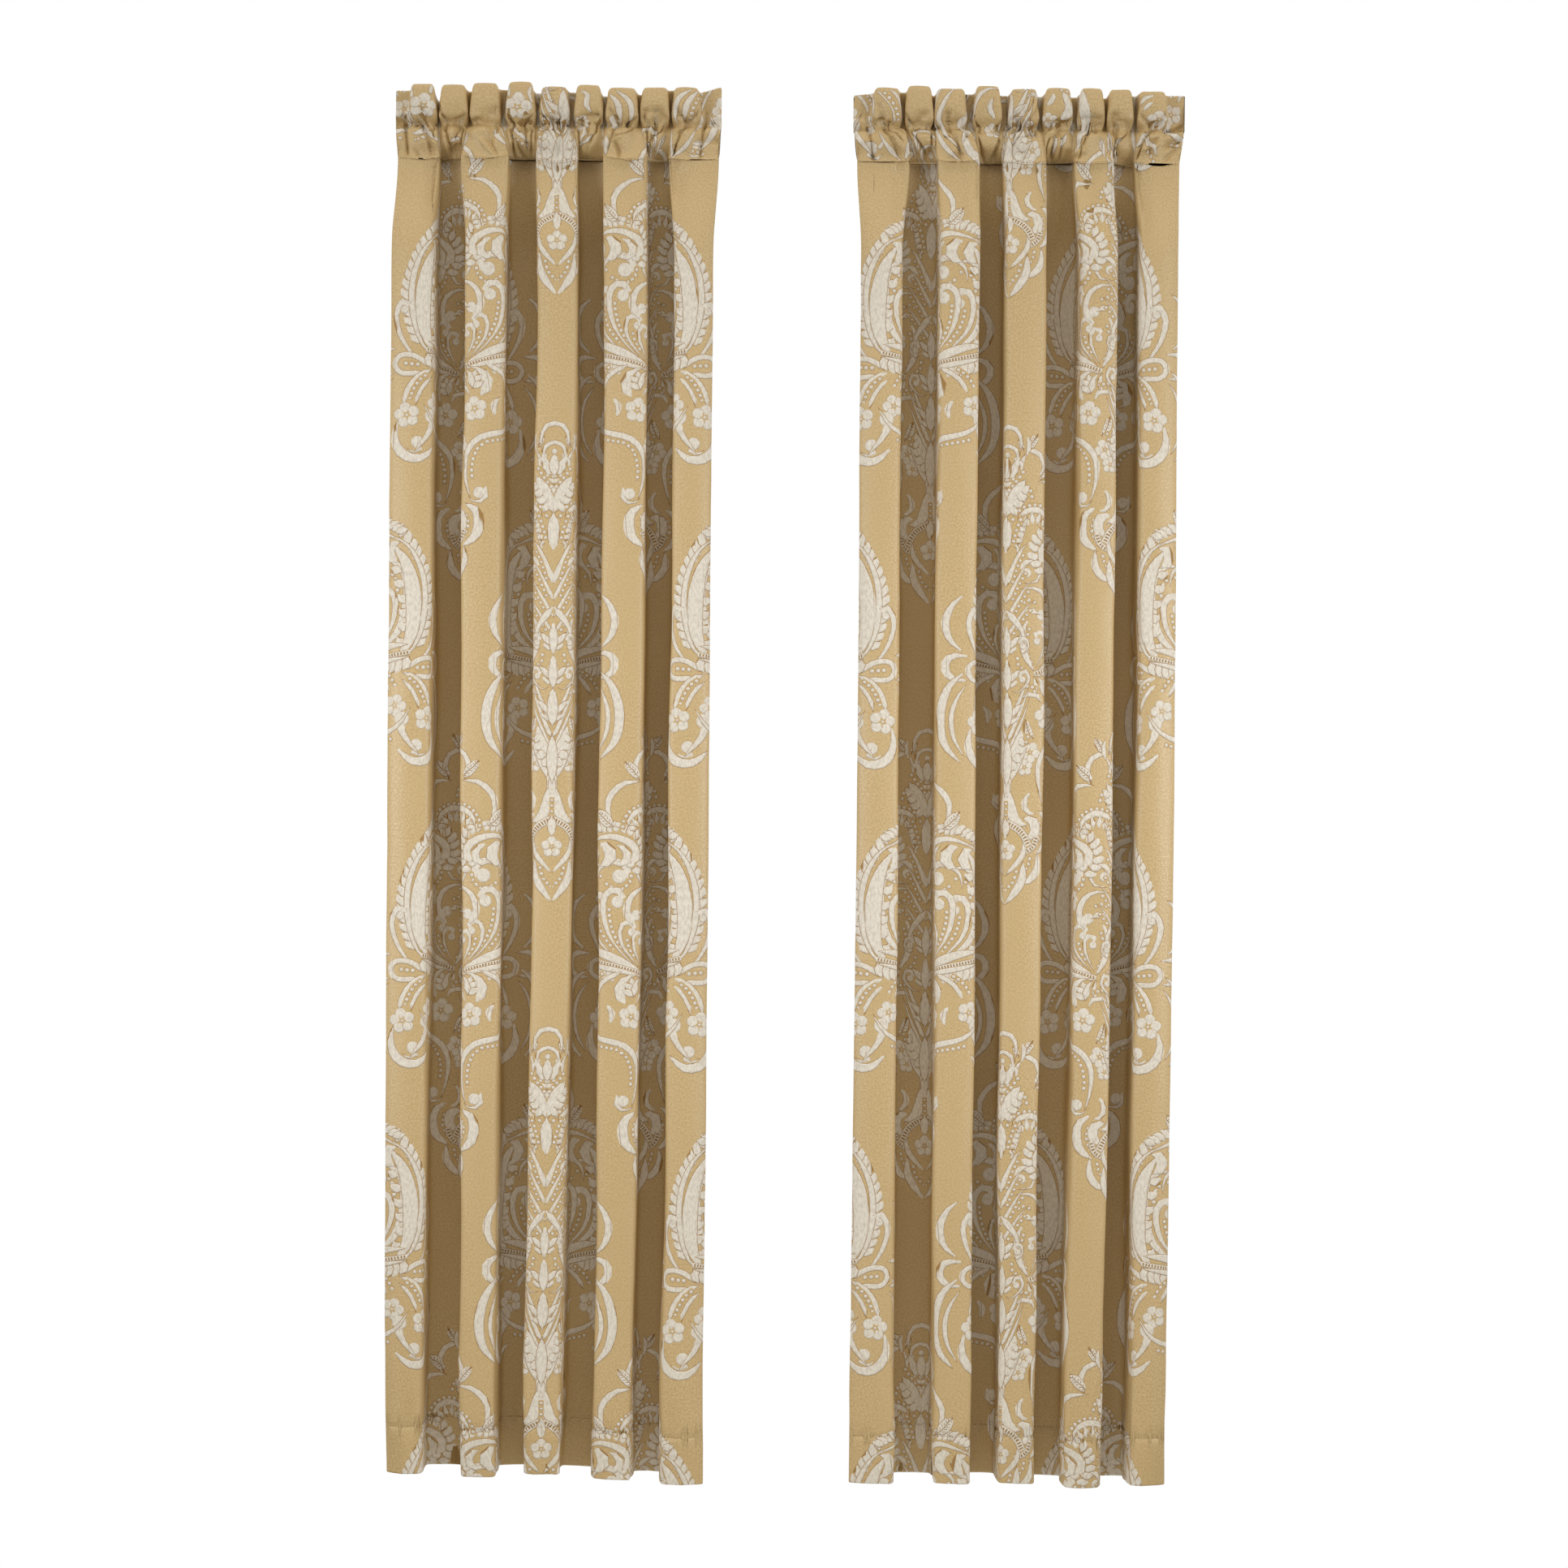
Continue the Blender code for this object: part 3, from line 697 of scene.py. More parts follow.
@dataclass
class HeadingCloth:
    """The header and rod pocket of one panel, from the lower stitches over the top and down behind."""

    hanging: Hanging
    row_step: float = 1.5

    def levels(self) -> list[tuple[float, float | FloatGrid, FloatGrid]]:
        """(flat distance up the cloth, height, plan) of each line that shapes the heading."""
        hanging = self.hanging
        top = hanging.header_z - LOOP_STEP + hanging.header_rise()
        dip = hanging.stitch_dip()
        sewn = hanging.stitch_plan()
        low = LOWER_STITCH_Z

        def pocket(base_y: float, puff: float, depth: float, near: float) -> FloatGrid:
            wall = hanging.pocket_plan(base_y, puff, depth, near)
            return hanging.behind(wall, math.copysign(1.0, base_y))

        front = [
            (low, low - dip, hanging.behind(sewn, -SEWN_GAP)),
            (-16.0, -17.0 - dip * 0.6, pocket(-15.0, -8.5, 0.8, 0.8)),
            (0.0, -2.0, pocket(-17.0, -12.0, 0.42, 0.6)),
            (14.0, 11.0, pocket(-17.0, -12.0, 0.4, 0.4)),
            (24.0, 20.0, pocket(-13.0, -8.0, 0.6, 0.25)),
        ]
        back = [
            (206.5, low - dip, hanging.behind(sewn, SEWN_GAP)),
            (196.0, -17.0 - dip * 0.6, pocket(17.0, 2.0, 0.5, 0.8)),
            (180.0, -2.0, pocket(19.5, 2.0, 0.15, 0.6)),
            (166.0, 11.0, pocket(18.5, 2.0, 0.3, 0.4)),
            (156.0, 20.0, pocket(15.0, 2.0, 0.6, 0.25)),
        ]
        header = [  # flat distance, height, depth and fullness, and half the gap in front and behind
            (31.0, UPPER_STITCH_Z, PINCH, 0.74, 0.7, 0.8),
            (37.0, 32.0, 0.68, 0.98, 0.8, 0.85),
            (45.0, 40.0, 0.92, 1.1, 0.8, 0.85),
            (62.0, 56.0, 1.04, 1.03, 0.8, 0.85),
            (78.0, top - 10.0, 0.95, 0.93, 0.8, 0.85),
            (86.0, top - 3.0, 0.86, 0.9, 0.8, 0.8),
            (88.6, top - 0.9, 0.82, 0.88, 0.5, 0.5),
        ]
        for flat, height, depth, fullness, before, behind in header:
            front.append((flat, height, hanging.loop_plan(depth, fullness, -before)))
            back.append((2 * HEADER_EDGE - flat, height, hanging.loop_plan(depth, fullness, behind)))
        return [*front, (HEADER_EDGE, top, hanging.loop_plan(0.81, 0.87, 0.0)), *reversed(back)]

    def surface(self) -> Surface:
        """The hung heading, with its tucks, dimples and puffs."""
        levels = self.levels()
        columns = self.hanging.columns()
        flat = np.array([level[0] for level in levels])
        table = np.zeros((len(levels), len(columns), 3))
        for row, (_, height, plan) in enumerate(levels):
            table[row, :, :2] = plan
            table[row, :, 2] = height
        up = np.linspace(flat[0], flat[-1], int((flat[-1] - flat[0]) / self.row_step) + 1)
        points = np.stack([through(flat, table[:, :, axis], up) for axis in range(3)], axis=2)
        surface = Surface(columns, up, points)
        pressed = np.clip(sum(crease.field(surface) for crease in self.creases()), -8.0, 8.0)
        free = ease((up - flat[0]) / 14) * ease((flat[-1] - up) / 14)
        surface.push(pressed * free[:, None])
        shape = (len(up), len(columns))
        surface.push(0.5 * smooth_noise(shape, (9, 16), self.hanging.seed + 31))
        return surface

    def creases(self) -> list[Crease]:
        """The creases listed for each loop, the header's through both its layers, and small tucks behind."""
        rng = np.random.default_rng(self.hanging.seed + 41)
        creases = []
        loops = zip(self.hanging.loops_flat(), CREASES[self.hanging.side])
        for number, ((start, end), placed) in enumerate(loops):
            middle = (start + end) / 2
            for across, up, reach, lean, spread, depth in placed:
                if (number == 0 and across < -24) or (number == 8 and across > 24):
                    across += math.copysign(END_TUCK, across)
                crease = Crease(middle + across, up, reach, lean, spread, depth * 1.6)
                creases.append(crease)
                if up > UPPER_STITCH_Z:
                    behind = replace(crease, up=2 * HEADER_EDGE - up, lean=-lean, depth=-crease.depth)
                    creases.append(behind)
            for _ in range(4):
                at, up, lean = middle + rng.uniform(-38, 38), rng.choice([160, 199]), rng.uniform(-20, 20)
                creases.append(Crease(at, up, 7, lean, 2.8, -rng.uniform(0.5, 2.0)))
        return creases


def through(places: FloatGrid, values: FloatGrid, at: FloatGrid) -> FloatGrid:
    """A table of lines read between its lines, on smooth curves that don't overshoot.

    Args:
        places: where each line of the table lies.
        values: the lines.
        at: the places that are wanted.

    Returns:
        One line for each place.
    """
    steps = np.diff(values, axis=0) / np.diff(places)[:, None]
    slopes = np.zeros_like(values)
    same_way = steps[1:] * steps[:-1] > 0
    mean = 2 * steps[1:] * steps[:-1] / np.where(same_way, steps[1:] + steps[:-1], 1.0)
    slopes[1:-1] = np.where(same_way, mean, 0.0)
    slopes[0], slopes[-1] = steps[0], steps[-1]
    index = np.clip(np.searchsorted(places, at, side="right") - 1, 0, len(places) - 2)
    span = (places[index + 1] - places[index])[:, None]
    t = (at - places[index])[:, None] / span
    low, high = values[index], values[index + 1]
    bend = slopes[index] * span, slopes[index + 1] * span
    return (
        low * (1 + 2 * t) * (1 - t) ** 2
        + bend[0] * t * (1 - t) ** 2
        + high * t * t * (3 - 2 * t)
        + bend[1] * t * t * (t - 1)
    )

# --- The damask ------------------------------------------------------------------------


def signed_area(outline: FloatGrid) -> float:
    """Area inside an outline, below 0 where it runs clockwise."""
    x, y = outline.T
    return float(np.dot(x, np.roll(y, -1)) - np.dot(y, np.roll(x, -1))) / 2


class Weave(Enum):
    """What a face of the cloth shows; the value is its material slot."""

    GROUND = 0
    FIGURE = 1
    VEINED = 2
    PEARLS = 3
    DASHED = 4


REVERSE_SLOT = len(Weave)  # the reverse's ground; its figures come next


class Profile(Enum):
    """How a stroke's width runs along it, from 0 to 1."""

    BAND = "band"  # even, with short rounded points
    LENS = "lens"  # widest in the middle
    DROP = "drop"  # widest near its far end
    TAIL = "tail"  # widest near its start, with a long thin end
    STRAIGHT = "straight"  # even, with square ends

    def widths(self, share: FloatGrid) -> FloatGrid:
        """Width at each share of the length, as a share of the full width."""
        if self is Profile.BAND:
            return np.clip(np.minimum(share / 0.1, (1 - share) / 0.1), 0, 1) ** 0.55
        if self is Profile.LENS:
            return np.abs(np.sin(np.pi * share)) ** 0.66
        if self is Profile.DROP:
            return np.abs(np.sin(np.pi * share**1.7)) ** 0.7
        if self is Profile.TAIL:
            return np.clip(share / 0.1, 0, 1) ** 0.5 * (1 - share**1.7) ** 0.8
        return np.ones_like(share)


@dataclass(frozen=True)
class Motif:
    """One woven figure: a stroke on the flat cloth.

    line is its centre line, half its half width at each point of it, and outline its edge.
    A figure with a line of one point is a disc.
    """

    weave: Weave
    line: FloatGrid
    half: FloatGrid
    outline: FloatGrid
    joined: float = 0.0  # length at its start that has no edge, where it grows out of another

    def placed(self, axis: float, top: float, mirror: int) -> "Motif":
        """This figure in the cloth, from its place beside a medallion's axis and below its top."""

        def put(points: FloatGrid) -> FloatGrid:
            return np.stack([axis + mirror * points[:, 0], top - points[:, 1]], axis=1)

        return replace(self, line=put(self.line), outline=put(self.outline))

    def area(self) -> float:
        """Area inside its outline."""
        return abs(signed_area(self.outline))

    def local(self, points: FloatGrid) -> FloatGrid:
        """Where points lie in the figure.

        Args:
            points: flat coordinates inside it or on its edge.

        Returns:
            For each, the distance along the line, the distance from it as a share of the
            half width, from -1 to 1, and the half width. In a disc, how far across and up
            from its middle, and its radius below 0.
        """
        if len(self.line) == 1:
            return np.column_stack([points - self.line[0], np.full(len(points), -self.half[0])])
        start, way = self.line[:-1], np.diff(self.line, axis=0)
        lengths = np.linalg.norm(way, axis=1)
        offset = points[:, None, :] - start[None]
        share = np.clip((offset * way).sum(axis=2) / lengths**2, 0, 1)
        gap = offset - share[:, :, None] * way[None]
        best = np.argmin((gap**2).sum(axis=2), axis=1)
        rows = np.arange(len(points))
        share, gap, way, length = share[rows, best], gap[rows, best], way[best], lengths[best]
        side = np.sign(way[:, 0] * gap[:, 1] - way[:, 1] * gap[:, 0])
        along = np.concatenate([[0.0], np.cumsum(lengths)])[best] + share * length
        half = self.half[best] * (1 - share) + self.half[best + 1] * share
        ratio = np.linalg.norm(gap, axis=1) / np.maximum(half, 0.05)
        ratio = np.where(ratio > 0.9, 1.0, ratio)
        if self.joined:
            ratio *= ease((along - self.joined * 0.7) / self.joined / 0.6)
        return np.stack([along, side * ratio, half], axis=1)


def curve(points: Sequence[Pair], step: float) -> FloatGrid:
    """A smooth line through a few points.

    Args:
        points: the points it passes through.
        step: the distance between the points of the line.

    Returns:
        The line's points, evenly spaced.
    """
    given = np.array(points, float)
    if len(given) > 2:
        ends = [2 * given[0] - given[1]], [2 * given[-1] - given[-2]]
        knots = np.concatenate([ends[0], given, ends[1]])
        given = cubic(knots, np.linspace(1, len(given), 12 * (len(given) - 1) + 1)[:-1])
        given = np.concatenate([given, [points[-1]]])
    lengths = np.concatenate([[0.0], np.cumsum(np.linalg.norm(np.diff(given, axis=0), axis=1))])
    count = max(int(round(lengths[-1] / step)), 2)
    at = np.linspace(0, lengths[-1], count + 1)
    return np.stack([np.interp(at, lengths, given[:, axis]) for axis in range(2)], axis=1)


def normals_of(line: FloatGrid) -> FloatGrid:
    """The direction to the left of a line, at each of its points."""
    along = np.gradient(line, axis=0)
    along /= np.maximum(np.linalg.norm(along, axis=1, keepdims=True), 1e-9)
    return np.stack([-along[:, 1], along[:, 0]], axis=1)


@dataclass
class Medallion:
    """Half a damask medallion, drawn with strokes.

    A point is its distance from the medallion's axis and its distance below the top.
    detail is how finely the strokes are divided. single holds the figures that lie across
    the axis, and paired those that are mirrored in it; later ones lie over earlier ones.
    """

    detail: float = 1.0
    single: list[Motif] = field(default_factory=list)
    paired: list[Motif] = field(default_factory=list)

    def stroke(
        self,
        points: Sequence[Pair],
        width: float,
        profile: Profile = Profile.BAND,
        weave: Weave = Weave.FIGURE,
        step: float = 10.0,
        across: bool = False,
    ) -> FloatGrid:
        """Draws one stroke.

        Args:
            points: a few points of its centre line.
            width: its full width.
            profile: how the width runs.
            weave: what it shows.
            step: distance between its points.
            across: draws it over the axis, from the mirror of the first point to the last
                one and on to its mirror, as one figure.

        Returns:
            Its centre line.
        """
        if across and abs(points[-1][0]) < 1e-6 and abs(points[0][0]) > 1e-6:
            points = [*points, *[(-u, d) for u, d in points[-2::-1]]]
        line = curve(points, step / self.detail)
        share = np.linspace(0, 1, len(line))
        half = np.maximum(profile.widths(share) * width / 2, 0.0)
        side = normals_of(line) * half[:, None]
        if profile is Profile.STRAIGHT:
            outline = np.concatenate([line + side, (line - side)[::-1]])
        else:
            outline = np.concatenate([line[:1], (line + side)[1:-1], line[-1:], (line - side)[-2:0:-1]])
        if across:
            self.single.append(Motif(weave, line, half, outline))
            return line
        outline[:, 0] = np.maximum(outline[:, 0], 0.0)
        self.paired.append(Motif(weave, line, half, outline))
        return line

    def ball(self, centre: Pair, radius: float, across: bool = False, sides: int = 8) -> None:
        """Draws a disc."""
        turn = np.arange(sides) * math.tau / sides
        rim = np.array(centre) + radius * np.stack([np.cos(turn), np.sin(turn)], axis=1)
        motif = Motif(Weave.FIGURE, np.array([centre], float), np.array([radius]), rim)
        (self.single if across else self.paired).append(motif)

    def chain(self, points: Sequence[Pair], width: float = 8.4) -> None:
        """Draws a string of pearls."""
        self.stroke(points, width, Profile.STRAIGHT, Weave.PEARLS, 12.0)

    def comb(
        self,
        points: Sequence[Pair],
        count: int,
        length: float,
        side: int,
        lean: float = 38.0,
        swell: float = 1.0,
        width: float = 0.0,
    ) -> None:
        """Draws a row of leaflets along a line.

        Args:
            points: a few points of the line that they grow from.
            count: how many there are.
            length: the longest one.
            side: 1 on the left of the line, -1 on its right.
            lean: how far they lean towards the line's end, in degrees.
            swell: 1 makes the middle ones longest, 0 makes them all alike.
            width: their width, or 0 for what their spacing allows.
        """
        line = curve(points, 2.0)
        out = normals_of(line) * -side
        along = np.stack([-out[:, 1], out[:, 0]], axis=1) * side
        turn = math.radians(lean)
        spacing = 2.0 * len(line) / count
        for number in range(count):
            share = (number + 0.5) / count
            at = int(share * (len(line) - 1))
            long = length * (1 - swell + swell * math.sin(math.pi * (0.15 + 0.75 * share)))
            way = out[at] * math.cos(turn) + along[at] * math.sin(turn)
            start = line[at] - way * long * 0.38
            bend = start + way * long * 0.75 + out[at] * long * 0.14
            tip = start + way * long * 1.42
            leaflet = [tuple(start), tuple(bend), tuple(tip)]
            self.stroke(leaflet, (width or spacing) * 1.22, Profile.LENS, step=long / 2.6)

    def flower(self, centre: Pair, radius: float, turn: float = 0.0, across: bool = False) -> None:
        """Draws a five-petalled flower with a star at its heart."""

        def at(reach: float, degrees: float) -> Pair:
            way = math.radians(turn + degrees)
            return centre[0] + reach * math.cos(way), centre[1] + reach * math.sin(way)

        for petal in range(5):
            self.ball(at(0.56 * radius, 72 * petal - 90), radius * 0.45, across)
        rays = [at(radius * (0.2 if ray % 2 else 0.4), 36 * ray - 54) for ray in range(10)]
        star = Motif(Weave.GROUND, np.array([centre], float), np.array([radius]), np.array(rays))
        (self.single if across else self.paired).append(star)
        self.ball(centre, radius * 0.15, across, 6)

    def fan(self, centre: Pair, radius: float, start: float, end: float, count: int) -> None:
        """Draws a fan of drooping petals under an arc of pearls.

        Args:
            centre: the middle of the arc.
            radius: the arc's radius.
            start: the angle of its first end, in degrees from straight out, upwards.
            end: the angle of its other end.
            count: how many petals hang from it.
        """

        def at(out: float, rise: float, share: float) -> Pair:
            angle = math.radians(start + (end - start) * share)
            return centre[0] + out * math.cos(angle), centre[1] - rise * math.sin(angle)

        outer = radius + 7.5
        self.chain([at(outer, outer, step / 6) for step in range(7)])
        self.stroke([at(radius, radius, step / 6) for step in range(7)], radius * 0.42, Profile.LENS)
        for petal in range(count):
            share = (petal + 0.5) / count
            rim, tip = at(radius * 0.94, radius * 0.94, share), at(radius * 0.5, radius * 0.42, share)
            middle = at(radius * 0.78, radius * 0.68, share)
            points = [rim, (middle[0], middle[1] + radius * 0.15 - 1), (tip[0], tip[1] + radius * 0.3)]
            self.stroke(points, radius * 2.5 / count, Profile.LENS, step=radius * 0.25)

    def leaf(self, base: Pair, middle: Pair, tip: Pair, width: float) -> None:
        """Draws a veined leaf."""
        self.stroke([base, middle, tip], width, Profile.LENS, Weave.VEINED, 7.0)

    def scroll(self, radius: float, width: float, *points: Pair, step: float = 9.0) -> None:
        """Draws a stroke that starts in a ball.

        Args:
            radius: the ball's radius.
            width: the stroke's width.
            points: the ball's centre, then a few points of the stroke.
            step: distance between the stroke's points.
        """
        self.ball(points[0], radius)
        self.stroke(points, width, Profile.TAIL, step=step)
        self.paired[-1] = replace(self.paired[-1], joined=radius)

    def lens(self, width: float, *points: Pair, step: float = 8.0) -> None:
        """Draws a leaf-shaped stroke."""
        self.stroke(points, width, Profile.LENS, step=step)

    def draw(self) -> None:
        """Draws the whole half medallion, from what lies behind to what lies in front."""
        outer = (self.draw_scrolls, self.draw_wing, self.draw_sheaf, self.draw_below_waist)
        inner = (self.draw_pendant, self.draw_crest, self.draw_stems)
        axis = (self.draw_axis_top, self.draw_axis_middle, self.draw_axis_foot)
        for draw in (*outer, *inner, *axis):
            draw()

    def draw_axis_top(self) -> None:
        """The arched crown with its tulip, and the acanthus and chevrons under it."""
        self.stroke([(20, 42), (21, 20), (13, 5), (0, 1)], 9.0, Profile.LENS, across=True)
        self.lens(8.5, (29, 47), (33, 30), (31, 14))
        self.stroke([(14.5, 52), (17, 44), (12, 35), (0, 30)], 7.4, across=True, step=6)
        self.ball((15.5, 51), 5.0)
        self.ball((0, 44), 5.0, across=True)
        self.lens(12.0, (2, 80), (11, 74), (13, 60), (21, 54), (20, 63), step=6)
        self.stroke([(0, 83), (0, 47)], 16.0, Profile.LENS, across=True, step=6)
        self.chain([(27, 67), (15, 84), (1.5, 101)], 8.4)
        self.lens(19.0, (1, 140), (8, 116), (18, 96), (29, 80))
        self.comb([(6, 134), (15, 114), (24, 99), (31, 90)], 4, 14, -1, 24)
        self.stroke([(0, 136), (0, 196)], 20.0, Profile.LENS, across=True)
        self.lens(8.5, (16, 196), (23, 168), (32, 136))
        self.comb([(18, 188), (24, 166), (31, 146)], 5, 9, 1, 40)
        self.chain([(11, 180), (16, 158), (25, 136)], 8.2)
        for number in range(4):
            apex, rise, spread = 246 + 26 * number, 68 - 3 * number, 30 + 4 * number
            arm = [(0, apex), (spread * 0.38, apex - rise * 0.42), (spread * 0.78, apex - rise * 0.84)]
            self.stroke([*arm, (spread + 3, apex - rise)], (13.0, 8.6, 8.2, 7.6)[number], Profile.TAIL)
            pearls = [(9.5, apex - 4), (spread * 0.62, apex - rise * 0.5)]
            self.chain([*pearls, (spread * 0.92, apex - rise * 0.76)], 7.6)

    def draw_axis_middle(self) -> None:
        """The framed palmettes between small scrolls, and the sheaf that opens below them."""
        for number in range(3):
            low = 464 + 20 * number
            arm = [(0, low), (13, low - 30), (26, low - 62), (36, low - 92)]
            self.stroke(arm, 8.6 - number * 0.5, Profile.TAIL)
        self.stroke([(0, 279), (12, 296), (24, 312), (28, 340)], 12.5, Profile.TAIL)
        self.scroll(5.4, 7.0, (25, 336), (20, 328), (29, 323), (34, 334), (28, 347), (18, 344), step=6)
        self.chain([(16, 350), (14, 360), (22, 370), (31, 374)], 8.0)
        tail = (34, 388), (24, 401), (14, 408), (5, 402)
        self.scroll(5.6, 7.4, (24, 387), (19, 380), (29, 374), *tail, step=6)
        for top, size in ((304, 1.0), (354, 1.05), (404, 1.2)):
            middle, side = (9, top + 29 * size), (20 * size, top + 15 * size)
            self.lens(10.5, (0.5, top + 37 * size), middle, side, step=6)
            middle, side = (8, top + 40 * size), (16 * size, top + 32 * size)
            self.lens(8.0, (0.5, top + 44 * size), middle, side, step=6)
            self.stroke([(0, top + 51 * size), (0, top)], 15 * size, Profile.LENS, across=True, step=8)

    def draw_axis_foot(self) -> None:
        """The acanthus heart, the waist with its trumpet, and the pointed pendant."""
        self.chain([(34, 470), (27, 494), (14, 520)], 7.6)
        self.flower((28, 521), 13.5, -6)
        self.lens(11.5, (2, 550), (13, 526), (24, 500), (34, 482))
        self.lens(20.0, (1, 536), (9, 508), (19, 484), (22, 462))
        self.comb([(6, 524), (15, 500), (23, 474)], 4, 13, -1, 26)
        self.stroke([(0, 552), (0, 474)], 18.0, Profile.LENS, across=True)
        self.stroke([(5, 528), (4, 556), (9, 584), (20, 604), (34, 614)], 8.4)
        self.lens(19.0, (3, 552), (8, 586), (18, 604), (34, 610))
        self.lens(9.0, (2, 538), (2.5, 568), step=8)
        trumpet = [(36, 640), (27, 622), (13, 611), (0, 606)]
        self.stroke(trumpet, 12.0, Profile.STRAIGHT, Weave.DASHED, 6.0, across=True)
        self.stroke([(0, 632), (0, 598)], 15.0, Profile.LENS, across=True, step=7)
        self.chain([(0.5, 598), (0.5, 572)], 6.6)
        self.stroke([(27, 628), (30, 648), (20, 666), (0, 688)], 10.0, Profile.LENS)
        self.flower((0, 648), 17.0, across=True)
        self.chain([(19, 676), (15, 694), (1.5, 709)], 8.4)
        self.stroke([(28, 662), (27, 692), (16, 712), (0, 732)], 14.0, Profile.LENS)

    def draw_stems(self) -> None:
        """The leafy stems that arch over the crest, and the fans under them."""
        self.lens(7.0, (24, 76), (22, 58), (28, 40))
        self.stroke([(28, 38), (44, 39), (56, 52), (58, 80)], 9.4)
        self.leaf((30, 38), (37, 27), (47, 11), 14.5)
        self.leaf((26, 39), (20, 28), (20, 13), 10)
        self.stroke([(46, 84), (75, 87), (96, 108), (98, 132), (89, 152)], 11.0, Profile.LENS)
        self.leaf((51, 83), (60, 68), (75, 53), 17)
        self.leaf((88, 154), (100, 145), (115, 125), 20)
        self.ball((83, 150), 5.0)
        self.fan((8, 112), 24, 0, 140, 4)
        self.fan((42, 154), 27, -6, 172, 6)

    def draw_crest(self) -> None:
        """The acanthus crest: a curling band edged with leaflets, with petals inside it."""
        self.comb([(60, 222), (47, 200), (52, 174), (70, 160), (92, 156)], 9, 17, 1, 30, 0.25, 11)
        self.comb([(92, 158), (116, 160), (140, 172)], 6, 17, 1, 38, 0.3, 11)
        band = (56, 186), (74, 173), (98, 168), (126, 176), (140, 186)
        self.scroll(7.5, 15.0, (64, 209), (56, 203), *band)
        self.lens(14.0, (90, 210), (72, 208), (70, 190), (86, 180))
        self.lens(20.0, (112, 214), (95, 204), (98, 184), (114, 180), step=9)
        self.lens(18.0, (136, 216), (121, 206), (124, 188), (138, 184), step=9)

    def draw_scrolls(self) -> None:
        """The ball-ended scrolls with their pearls, from the crest down to the waist."""
        outside = (98, 214), (122, 212), (139, 225), (147, 250), (144, 290), (131, 325), (92, 358)
        self.lens(14.0, *outside, step=10)
        self.chain([(106, 229), (121, 229), (131, 242), (133, 282), (123, 314), (104, 336)], 8.8)
        tail = (129, 292), (118, 322), (82, 358)
        self.scroll(9.0, 12.5, (108, 277), (104, 266), (116, 256), (128, 268), *tail)
        self.chain([(117, 284), (111, 312), (90, 340)], 8.6)
        tail = (86, 206), (106, 212), (118, 226), (120, 246)
        self.scroll(11.5, 14.5, (81, 229), (70, 228), (70, 214), *tail)
        self.chain([(62, 224), (67, 242), (84, 250), (104, 238)], 8.8)
        tail = (106, 278), (100, 310), (80, 342), (54, 368)
        self.scroll(10.0, 12.5, (84, 268), (76, 259), (87, 249), (102, 257), *tail)
        self.chain([(97, 276), (95, 300), (85, 327), (64, 352)], 8.8)
        self.scroll(7.0, 9.4, (62, 314), (57, 306), (66, 298), (78, 304), (80, 320), (73, 340), (47, 371))
        self.chain([(70, 322), (68, 336), (55, 354)], 8.2)
        self.scroll(8.0, 11.0, (31, 224), (24, 214), (38, 206), (51, 218), (48, 236), (24, 240))
        self.scroll(9.0, 14.0, (55, 288), (62, 298), (70, 280), (61, 257), (42, 247), (20, 249))
        self.chain([(24, 271), (36, 265), (47, 270)], 8.2)
        self.lens(11.0, (20, 290), (36, 281), (52, 288))
        self.scroll(6.4, 8.8, (47, 328), (43, 318), (54, 313), (61, 328), (54, 350), (43, 372))
        self.chain([(36, 306), (30, 330), (34, 352), (41, 366)], 8.0)
        self.lens(12.0, (43, 376), (28, 348), (25, 314), (34, 294))

    def draw_sheaf(self) -> None:
        """The strokes that gather at the waist."""
        self.lens(15.0, (150, 340), (118, 344), (84, 356), (42, 377))
        self.stroke([(152, 352), (112, 360), (76, 368), (42, 378)], 8.4, Profile.STRAIGHT, Weave.DASHED, 9.0)
        self.comb([(152, 362), (122, 368), (90, 374)], 6, 22, 1, 30, 0.4, 13)
        self.lens(9.6, (154, 358), (112, 367), (70, 375), (38, 383))

    def draw_wing(self) -> None:
        """The big feather, the hooked strokes outside it and the crescents of the wing."""
        barbs = [(158, 344), (171, 306), (176, 268), (168, 230), (150, 192), (132, 166)]
        self.comb(barbs, 14, 19, -1, 46, 0.1, 12)
        shaft = (134, 368), (158, 344), (171, 306), (174, 266), (168, 228), (150, 192), (120, 170)
        self.lens(10.0, *shaft)
        self.comb([(138, 350), (146, 320), (147, 286), (141, 250), (132, 216)], 6, 15, 1, 42, 0.15, 13)
        self.lens(25.0, (134, 364), (152, 330), (157, 290), (154, 250), (144, 214), (126, 186))
        hook = (197, 304), (188, 336), (168, 364), (138, 380)
        self.scroll(6.5, 11.0, (184, 292), (178, 283), (190, 282), *hook)
        self.stroke([(142, 380), (168, 363), (190, 362), (198, 375), (187, 389), (154, 388)], 9.4, step=5)
        self.chain([(160, 376), (186, 374)], 9.2)
        self.lens(12.5, (204, 258), (222, 274), (232, 300), (226, 326), (206, 346))
        self.lens(13.0, (196, 352), (222, 352), (233, 368), (222, 386), (198, 389))
        self.lens(16.0, (203, 376), (228, 400), (241, 440), (236, 484), (210, 516))
        self.lens(8.6, (200, 394), (216, 418), (224, 446), (220, 478), (204, 506))
        self.stroke([(140, 382), (162, 392), (178, 412), (186, 440)], 9.0)
        self.stroke([(140, 392), (154, 406), (164, 424), (167, 440)], 7.5)
        self.chain([(150, 390), (166, 404), (176, 428)], 8.6)
        self.lens(16.0, (194, 460), (198, 490), (184, 514), (158, 518), (134, 498))
        self.scroll(10.0, 9.0, (164, 494), (158, 504), (170, 510), (182, 502))
        self.flower((180, 453), 20.0, 12)

